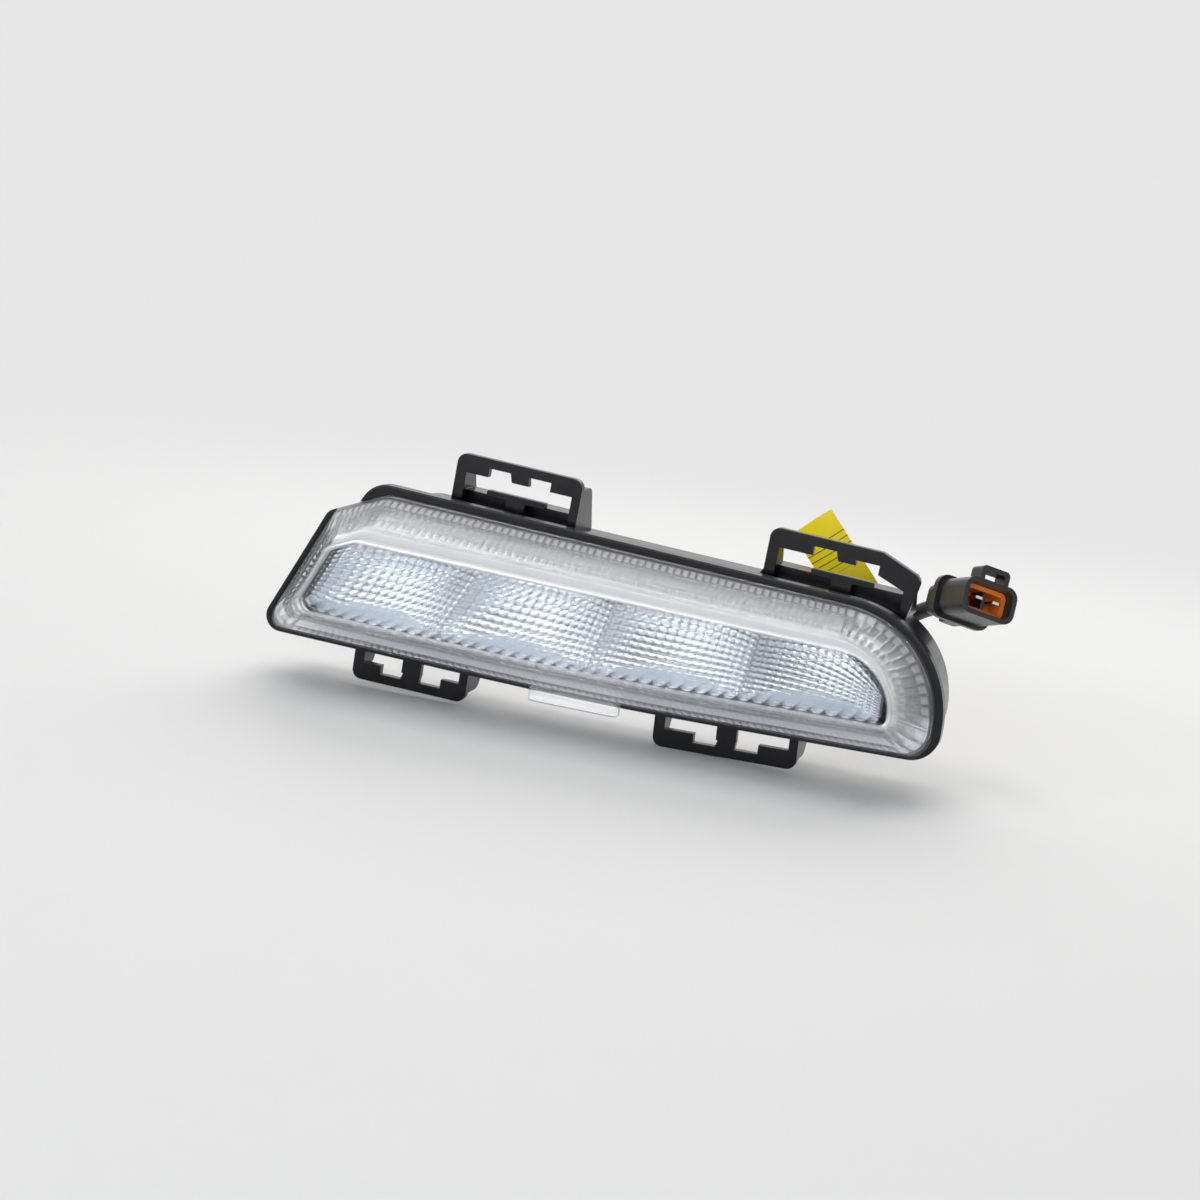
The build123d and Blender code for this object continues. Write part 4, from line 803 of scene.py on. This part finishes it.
class LAMP_OT_lens(LampOperator, bpy.types.Operator):
    """Clear lens: bevelled wall with a rounded front edge, flutes along the inside, tongue below"""

    bl_idname = "lamp.lens"
    bl_label = "Lens"

    def shell(self, sizes):
        """Closed shell of rings: up the outside, over the front, back down the fluted inside.  With it come
        two shares for its finish: crests of the studs at the rim, and painted shade in the gaps between the
        flutes."""
        edge, flute = sizes.edge_radius / MM, sizes.flute_depth / MM
        foot = LENS_FOOT_INSETS + LENS_WALL
        pitch = by_part(sizes.flute_pitch / MM, round_end=sizes.round_pitch / MM)
        counts = wave_counts(foot, LENS_FOOT_RADII, pitch)
        studs = by_part(flute)
        flutes = by_part(flute, top=TOP_FLUTE_SHARE * flute, bottom=0.0)

        def wall(y, inset=0.0, height=0.0):
            insets, radii = lens_wall(y)
            return (y, insets + inset, radii, height)

        wall_front = LENS_FRONT + edge
        flutes_front = LENS_INSIDE_Y + FLUTES_BEHIND
        flutes_back = -RIM_DEPTH - STUDS_FROM - STUDS_FADE
        profile = [(LENS_FOOT_Y, LENS_FOOT_INSETS, LENS_FOOT_RADII, 0.0)]
        profile += [wall(y) for y in np.linspace(-RIM_DEPTH, wall_front, LENS_ROWS)]
        turned = rounded_edge(wall(wall_front), wall(LENS_FRONT), wall(LENS_FRONT, edge), LENS_ROWS)
        profile += turned[1:]
        outer_rows = len(profile)
        profile += [wall(LENS_INSIDE_Y, LENS_WALL)]
        lengths = np.linspace(flutes_front, flutes_back, LENS_ROWS + 1)
        profile += [wall(y, LENS_WALL, flutes) for y in lengths]
        profile += [wall(-RIM_DEPTH - ahead, LENS_WALL, studs) for ahead in (STUDS_FROM, STUDS_TO)]
        profile += [wall(-RIM_DEPTH, LENS_WALL), (LENS_FOOT_Y, foot, LENS_FOOT_RADII, 0.0)]
        points, wave, heights = profile_rings(profile, counts, LENS_STEPS)
        faces = loop_faces(len(profile), len(wave), True)
        # The front is one face outside and one inside, with no quads from one to the other
        inside = outer_rows * len(wave) + np.arange(len(wave))
        outside = inside - len(wave)
        del faces[outside[0]:inside[0]]
        faces += [outside.tolist(), inside[::-1].tolist()]
        on_studs = np.array([row[3] is studs for row in profile])[:, None]
        # Painted shade between the flutes: full between the studs at the rim, weaker on the wall
        gap = heights / flute * (1 - wave) * np.where(on_studs, 1.0, WALL_GAP_SHADE)
        return points, faces, {"crest": on_studs * wave, "gap": gap}

    def tongue(self):
        """Rounded slab: superellipse rings scaled along its thickness."""
        width, depth, height = TONGUE_SIZE
        turn = np.linspace(0.0, 2 * np.pi, TONGUE_POINTS, endpoint=False)
        c, s = np.cos(turn), np.sin(turn)
        x = np.sign(c) * np.abs(c) ** TONGUE_POWER * width / 2
        z = np.sign(s) * np.abs(s) ** TONGUE_POWER * height / 2
        places = np.broadcast_arrays(
            np.outer(1 - TONGUE_INSETS / (width / 2), x) + TONGUE_MIDDLE[0],
            (TONGUE_ROWS * depth)[:, None] + TONGUE_MIDDLE[1],
            np.outer(1 - TONGUE_INSETS / (height / 2), z) + TONGUE_MIDDLE[2],
        )
        return np.stack(places, -1).reshape(-1, 3), capped_faces(len(TONGUE_ROWS), TONGUE_POINTS), {}

    def execute(self, context):
        glass = clear_plastic("clear_lens")
        lens = closed_piece("lens", *self.shell(context.scene.lamp_lens), glass, "clear_lens")
        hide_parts("outer_lens")
        closed_piece("lens_tongue", *self.tongue(), glass, "clear_lens", 50.0)
        return {"FINISHED"}


class LAMP_OT_bezel(LampOperator, bpy.types.Operator):
    """Bright bezel: finely ribbed skirt, smooth band and a rounded lip round the window"""

    bl_idname = "lamp.bezel"
    bl_label = "Bezel"

    def shell(self, sizes):
        """Closed tube of rings whose profile runs over the flange, up the skirt, over the band and lip, and
        back inside.  With it comes one share for its finish: painted shade in the grooves between the ribs."""
        front, front_radii = lens_wall(BEZEL_FRONT)
        front = front + LENS_WALL + BEZEL_AIR
        back = np.full(len(HULL), BEZEL_BACK_INSET)
        lip, width = sizes.lip_height / MM, sizes.lip_width / MM
        pitch = by_part(sizes.rib_pitch / MM, round_end=sizes.flute_pitch / MM)
        counts = wave_counts(back, LENS_FOOT_RADII, pitch)
        ribbed = by_part(sizes.rib_height / MM, round_end=sizes.flute_depth / MM)

        def skirt(share, ribs=0.0, inset=0.0):
            y = BEZEL_BACK_Y + (BEZEL_FRONT - BEZEL_BACK_Y) * share
            radii = LENS_FOOT_RADII + (front_radii - LENS_FOOT_RADII) * share
            return (y, back + (front - back) * share + inset, radii, ribs)

        def window(y, inset):
            return (y, WINDOW_INSETS - inset, WINDOW_RADII, 0.0)

        flange = LENS_FOOT_INSETS + LENS_WALL + FLANGE_AIR
        profile = [(BEZEL_BACK_Y - step, flange, LENS_FOOT_RADII, 0.0) for step in (0.0, BEZEL_FLANGE)]
        profile += [skirt(RIBS_FROM - RIBS_FADE, inset=-SKIRT_RELIEF)]
        profile += [skirt(share, ribbed) for share in np.linspace(RIBS_FROM, RIBS_TO, RIB_ROWS)]
        profile += [skirt(RIBS_TO + RIBS_FADE)]
        profile += rounded_edge(skirt(EDGE_FROM), skirt(1.0), skirt(1.0, inset=EDGE_WIDTH), EDGE_ROWS)
        profile += [window(BEZEL_FRONT, width + LIP_MARGIN)]
        turns = np.linspace(0.0, np.pi, LIP_ROWS)
        profile += [window(BEZEL_FRONT - lip * np.sin(a), width / 2 + width / 2 * np.cos(a)) for a in turns]
        profile += [window(BEZEL_FRONT + BEZEL_WALL, 0.0)]
        inside_share = 1 - BEZEL_WALL / (BEZEL_BACK_Y - BEZEL_FRONT)
        profile += [skirt(share, inset=BEZEL_WALL) for share in (inside_share, 0.0)]
        points, wave, heights = profile_rings(profile, counts, BEZEL_STEPS)
        # The groove share carries painted shade between the ribs
        return points, loop_faces(len(profile), len(wave), True), {"groove": (heights > 0) * (1 - wave)}

    def finish(self, colour):
        """Satin bright metal with painted shade and light: painted darker on the upper skirt, less so on the
        band, with painted shade in the skirt's grooves, painted lighter and less metallic on the lower skirt,
        and painted dark at the upper skirt's foot."""
        make = Finish("metallised_bezel")
        band = make.ramp("Y", *(BEZEL_FRONT + behind for behind in BAND_BEHIND))
        # Painted light: the lower skirt is lighter and less metallic than the upper
        low = make.ramp("Z", *LOW_SKIRT_Z)
        # Paint that darkens the foot of the upper skirt, not of the lower
        foot = make.ramp("Y", *(-RIM_DEPTH - ahead for ahead in DARK_FOOT))
        specks = make.noise(250.0, 3.0)
        # Painted shade on the upper skirt
        skirt = make.blend(low, [c * UPPER_SKIRT_SHADE for c in colour], colour)
        # Painted shade in the grooves between the ribs
        ribs = make.blend(0.7 * make.share("groove"), skirt, RIB_GROOVE_SHADE)
        # Painted shade on the band, lighter than on the upper skirt
        plate = make.blend(band, ribs, [c * BAND_SHADE for c in colour])
        return make.surface(make.principled(
            Base_Color=make.blend(foot * (1 - low), plate, FOOT_DARK_TINT),
            Metallic=0.6 - 0.5 * low,
            Roughness=0.12 + 0.08 * specks,
            Normal=make.bump(specks, 0.000004),
        ))

    def execute(self, context):
        shell = self.shell(context.scene.lamp_bezel)
        bright = self.finish(list(context.scene.lamp_colours.bright))
        bezel = closed_piece("bezel_ring", *shell, bright, "metallised_bezel", 30.0)
        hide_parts("bezel")
        return {"FINISHED"}


class LAMP_OT_reflector(LampOperator, bpy.types.Operator):
    """Beaded reflector: four dishes of pillow beads with a smooth floor in front of them"""

    bl_idname = "lamp.reflector"
    bl_label = "Reflector"

    def edges(self, x):
        """Lower and upper edge of the row of cells: the rim's lines moved inwards, the lower one raised at
        the left corner and the upper one swept down at both ends, by the square of the way there."""
        left = RIM_LEFT_FOOT + (RIM_SAG - RIM_LEFT_FOOT) * (x - RIM_LEFT) / (RIM_SAG_X - RIM_LEFT)
        right = RIM_SAG + (RIM_RIGHT_FOOT - RIM_SAG) * (x - RIM_SAG_X) / (RIM_RIGHT - RIM_SAG_X)
        raised = np.maximum(0.0, (x - CORNER_START_X) / (CELL_EDGES_X[0] - CORNER_START_X)) ** 2
        low = np.maximum(left, right) + REFLECTOR_BOTTOM_INSET + CORNER_RISE * raised
        swept = np.maximum(0.0, (x - SWEEP_STARTS_X) / (CELL_EDGES_X[[0, -1]] - SWEEP_STARTS_X))
        drop = (SWEEP_DROPS * swept ** 2).sum(1, keepdims=True)
        return low, RIM_TOP_RIGHT + RIM_TOP_SLOPE * (RIM_RIGHT - x) - REFLECTOR_TOP_INSET - drop

    def shell(self, sizes):
        """Slices across the lamp, joined side by side and closed by a cap at each end.
        The dish is a parabola across each cell and up it, rounded where two cells meet; every bead adds
        a pillow, one less half the square of its place across and half the square of its place up.
        The rows of beads lie on planes that lean with the depth of the dish, but for the two edges.
        The floor is a sloped plane whose front edge bulges in scallops that fade like a bell curve, and
        the surface is whichever of floor and beads lies further forward."""
        steps, cells = sizes.bead_steps, len(CELL_EDGES_X) - 1
        across, up = sizes.beads_across * steps, sizes.beads_up * steps
        share = np.concatenate([np.tile(np.arange(across) / across, cells), [1.0]])[:, None]
        cell = np.concatenate([np.repeat(np.arange(cells), across), [cells - 1]])[:, None]
        x = CELL_EDGES_X[cell] + np.diff(CELL_EDGES_X)[cell] * share
        slant = CELL_EDGES_SLANT[cell] + np.diff(CELL_EDGES_SLANT)[cell] * share
        low, high = self.edges(x)
        aside = np.abs(2 * share - 1)
        rounding = np.maximum(0.0, aside - 1 + sizes.ridge_share) ** 2 / sizes.ridge_share

        def dish(z):
            deepest = DISH_DEEPEST_Y - DISH_CURVE * (z - DISH_DEEPEST_Z) ** 2
            return RIDGE_Y + (deepest - RIDGE_Y) * (arch(share) + rounding)

        def eased(way):
            return arch(np.clip(way / sizes.row_fade, 0, 1) / 2)

        row = np.arange(up + 1) / steps
        rise = np.where(row < 1, row ** 2, row) / sizes.beads_up
        height = (high - low) * rise
        lean = np.tan(sizes.row_tilt) * (eased(rise) * eased(1 - rise))
        height = height - lean * (dish(low + height) - RIDGE_Y)
        off_across = (2 * ((np.arange(len(share)) + steps // 2) % steps / steps)[:, None] - 1) ** 2
        off_up = (2 * (row % 1.0) - 1) ** 2
        pillow = 1 - 0.5 * off_across - 0.5 * off_up
        depth = sizes.scallop_depth / MM
        scallop = arch((x + slant * low) / (sizes.scallop_pitch / MM) % 1.0)
        edge = np.exp(-(height / (sizes.scallop_reach / MM)) ** 2)
        z = low + height + depth * edge * (1 - scallop)
        floor_y = FLOOR_FRONT_Y + FLOOR_SLOPE * height - depth * edge * scallop
        crown = 1 + sizes.ridge_crown * (aside > 1 - 1 / sizes.beads_across)
        beads_y = dish(z) - sizes.bead_height / MM * crown * pillow
        back_z = low + (high - low) * np.linspace(1.0, 0.0, BACK_ROWS)
        back_y = np.minimum(FLOOR_FRONT_Y + FLOOR_SLOPE * (back_z - low), dish(back_z)) + REFLECTOR_SHELL
        rows_z = np.concatenate([z, back_z], 1)
        rows_y = np.concatenate([np.minimum(floor_y, beads_y), back_y], 1)
        points = np.stack([x + slant * rows_z, rows_y, rows_z], -1)
        on_floor = floor_y < beads_y
        # Painted shade: dark between the beads, and between the scallops along the floor's front edge
        between = np.clip(off_across + off_up - GROOVE_SHADE_FROM, 0.0, 1.0)
        floor = on_floor * (1 - edge * scallop)
        groove = np.where(on_floor, edge * (1 - scallop), between)
        behind = np.zeros(back_y.shape)
        shares = {"floor": np.concatenate([floor, behind], 1), "groove": np.concatenate([groove, behind], 1)}
        return points.reshape(-1, 3), capped_faces(*points.shape[:2]), shares

    def finish(self, colour):
        """Bright metal, mirror-like on the beads, with painted shade between them and between the scallops of
        the floor's edge, and satin on the floor in front.
        """
        make = Finish("metallised_reflector")
        floor, groove = make.share("floor"), make.share("groove")
        clouds = make.blend(make.noise(90.0, 3.0), colour, [c * 0.97 for c in colour])
        return make.surface(make.principled(
            # Painted shade between the beads and between the scallops
            Base_Color=make.blend(groove, make.blend(floor, clouds, FLOOR_TINT), BEAD_GROOVE_SHADE),
            Metallic=0.85 - 0.55 * floor,
            Roughness=0.12 + 0.06 * make.noise(300.0, 3.0) + 0.30 * floor,
        ))

    def execute(self, context):
        shell = self.shell(context.scene.lamp_reflector)
        bright = self.finish(list(context.scene.lamp_colours.bright))
        reflector = closed_piece("beaded_reflector", *shell, bright, "metallised_reflector", 30.0)
        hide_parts("reflector")
        return {"FINISHED"}


# Plain finishes: name, two colours, roughness, grain and its depth in millimetres, and their pieces
HOUSING_MOULDED = (
    ("seal_rubber", (0.02, 0.02, 0.02), (0.03, 0.03, 0.03), 0.7, 0.5, 0.02, "lens_seal", "connector_seal"),
    ("grommet_rubber", (0.018, 0.018, 0.02), (0.028, 0.028, 0.03), 0.62, 0.8, 0.03, "cable_grommet"),
    ("cap_plastic", (0.02, 0.02, 0.023), (0.032, 0.032, 0.036), 0.5, 0.6, 0.03, "breather_cap"),
    ("membrane_film", (0.75, 0.75, 0.75), (0.85, 0.85, 0.85), 0.8, 0.2, 0.02, "breather_membrane"),
)
INNER_MOULDED = (
    ("light_board", (0.78, 0.78, 0.75), (0.85, 0.85, 0.82), 0.4, 0.4, 0.01, "led_board"),
    ("light_source", (0.82, 0.66, 0.10), (0.9, 0.76, 0.2), 0.45, 0.3, 0.01, "leds"),
    ("thermal_pad_grey", (0.16, 0.17, 0.19), (0.22, 0.23, 0.25), 0.75, 0.4, 0.03, "thermal_pad"),
    ("circuit_board", (0.01, 0.09, 0.04), (0.02, 0.16, 0.07), 0.35, 1.2, 0.03, "driver_board"),
    ("coil_ferrite", (0.03, 0.03, 0.033), (0.05, 0.05, 0.054), 0.6, 0.4, 0.02, "driver_coil"),
    ("chip_epoxy", (0.012, 0.012, 0.014), (0.02, 0.02, 0.022), 0.55, 0.3, 0.02, "driver_chips"),
    ("link_film", (0.42, 0.18, 0.02), (0.5, 0.24, 0.04), 0.3, 1.0, 0.01, "board_link"),
    ("wire_insulation", (0.02, 0.02, 0.02), (0.03, 0.03, 0.03), 0.4, 0.5, 0.01, "inner_leads"),
)
INNER_METAL = (
    ("screw_steel", (0.52, 0.52, 0.54), (0.6, 0.6, 0.6), 0.3, 0.5, 0.02, "heat_sink_screws", "driver_screws"),
    ("capacitor_can", (0.62, 0.63, 0.65), (0.7, 0.71, 0.73), 0.25, 0.8, 0.01, "driver_capacitors"),
)
CONNECTOR_MOULDED = (
    ("connector_plastic", (0.006, 0.006, 0.008), (0.012, 0.012, 0.015), 0.32, 0.4, 0.02, "connector_body"),
)
CONNECTOR_METAL = (("pin_metal", (0.66, 0.64, 0.6), (0.74, 0.73, 0.7), 0.25, 0.4, 0.01, "connector_pins"),)


def dress(finish, *names):
    """Gives CAD nodes their finish."""
    for name in names:
        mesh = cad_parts[name].data
        mesh.materials.clear()
        mesh.materials.append(finish)


def dress_all(make, finishes):
    """Makes the plain finishes of a table and gives them to their CAD nodes."""
    for name, colour, second, roughness, grain, depth, *nodes in finishes:
        dress(make(name, colour, second, roughness, grain, depth), *nodes)


class LAMP_OT_housing_finish(LampOperator, bpy.types.Operator):
    """Finishes of the black housing, its seals, vent and grommet"""

    bl_idname = "lamp.housing_finish"
    bl_label = "Housing finish"

    def execute(self, context):
        black = list(context.scene.lamp_colours.housing)
        shell = moulded(
            "housing_plastic", black, [c * 1.5 for c in black],
            roughness=0.22, grain=0.7, depth=0.01, specular=0.24, edge=0.4,
        )
        dress(shell, "housing", "clip_loops")
        dress_all(moulded, HOUSING_MOULDED)
        return {"FINISHED"}


class LAMP_OT_inner_finish(LampOperator, bpy.types.Operator):
    """Finishes of the light strip and the driver inside the housing"""

    bl_idname = "lamp.inner_finish"
    bl_label = "Inner finish"

    def execute(self, context):
        dress_all(moulded, INNER_MOULDED)
        dress_all(metal, INNER_METAL)
        drawn = metal(
            "sink_metal", (0.60, 0.61, 0.63), (0.68, 0.69, 0.71),
            roughness=0.38, grain=1.0, depth=0.02, stretch=(0.1, 1.0, 1.0),
        )
        dress(drawn, "heat_sink")
        return {"FINISHED"}


class LAMP_OT_connector_finish(LampOperator, bpy.types.Operator):
    """Finishes of the connector and of the yellow label on the lead"""

    bl_idname = "lamp.connector_finish"
    bl_label = "Connector finish"

    def label(self, colour):
        """Yellow film with plain dark bars across it, counted along the label's own length."""
        make = Finish("label_film")
        along = make.node(
            "ShaderNodeVectorMath", {"operation": "DOT_PRODUCT"}, out="Value", i0=make.place(), i1=LABEL_WAY
        ) * (1 / MM)
        bar = (along % BAR_PITCH < BAR_WIDTH) * (along > BARS_FROM) * (along < BARS_TO)
        film = make.blend(make.noise(80.0, 3.0), colour, [c * 0.9 for c in colour])
        return make.surface(make.principled(
            Base_Color=make.blend(bar, film, BAR_INK),
            Roughness=0.38 + 0.15 * make.noise(300.0),
            Specular_IOR_Level=0.2,
            Normal=make.bump(make.noise(140.0), 0.00008),
        ))

    def execute(self, context):
        colours = context.scene.lamp_colours
        orange = list(colours.retainer)
        lock = moulded(
            "retainer_plastic", orange, [c * 0.85 for c in orange], roughness=0.4, grain=0.4, depth=0.02
        )
        dress(self.label(list(colours.label)), "cable_label")
        dress(lock, "connector_retainer")
        dress_all(moulded, CONNECTOR_MOULDED)
        dress_all(metal, CONNECTOR_METAL)
        return {"FINISHED"}


OPERATORS = (
    LAMP_OT_stage,
    LAMP_OT_lead,
    LAMP_OT_lens,
    LAMP_OT_bezel,
    LAMP_OT_reflector,
    LAMP_OT_housing_finish,
    LAMP_OT_inner_finish,
    LAMP_OT_connector_finish,
)


class LAMP_PT_panel(bpy.types.Panel):
    """Lists the lamp's operators and sizes"""

    bl_idname = "LAMP_PT_panel"
    bl_label = "Running light"
    bl_space_type = "VIEW_3D"
    bl_region_type = "UI"
    bl_category = "Running light"

    def draw(self, context):
        for operator in OPERATORS:
            self.layout.operator(operator.bl_idname)
        for name, group in GROUPS.items():
            for key in group.__annotations__:
                self.layout.prop(getattr(context.scene, name), key)


GROUPS = {
    "lamp_lens": LensSizes,
    "lamp_bezel": BezelSizes,
    "lamp_reflector": ReflectorSizes,
    "lamp_colours": FinishColours,
    "lamp_stage": StageSettings,
}


def register():
    for kind in (*GROUPS.values(), *OPERATORS, LAMP_PT_panel):
        bpy.utils.register_class(kind)
    for name, group in GROUPS.items():
        setattr(bpy.types.Scene, name, PointerProperty(type=group))


def unregister():
    for name in GROUPS:
        delattr(bpy.types.Scene, name)
    for kind in (LAMP_PT_panel, *reversed(OPERATORS), *reversed(GROUPS.values())):
        bpy.utils.unregister_class(kind)


def main():
    register()
    for operator in OPERATORS:
        group, name = operator.bl_idname.split(".")
        getattr(getattr(bpy.ops, group), name)()


if __name__ == "__main__":
    main()
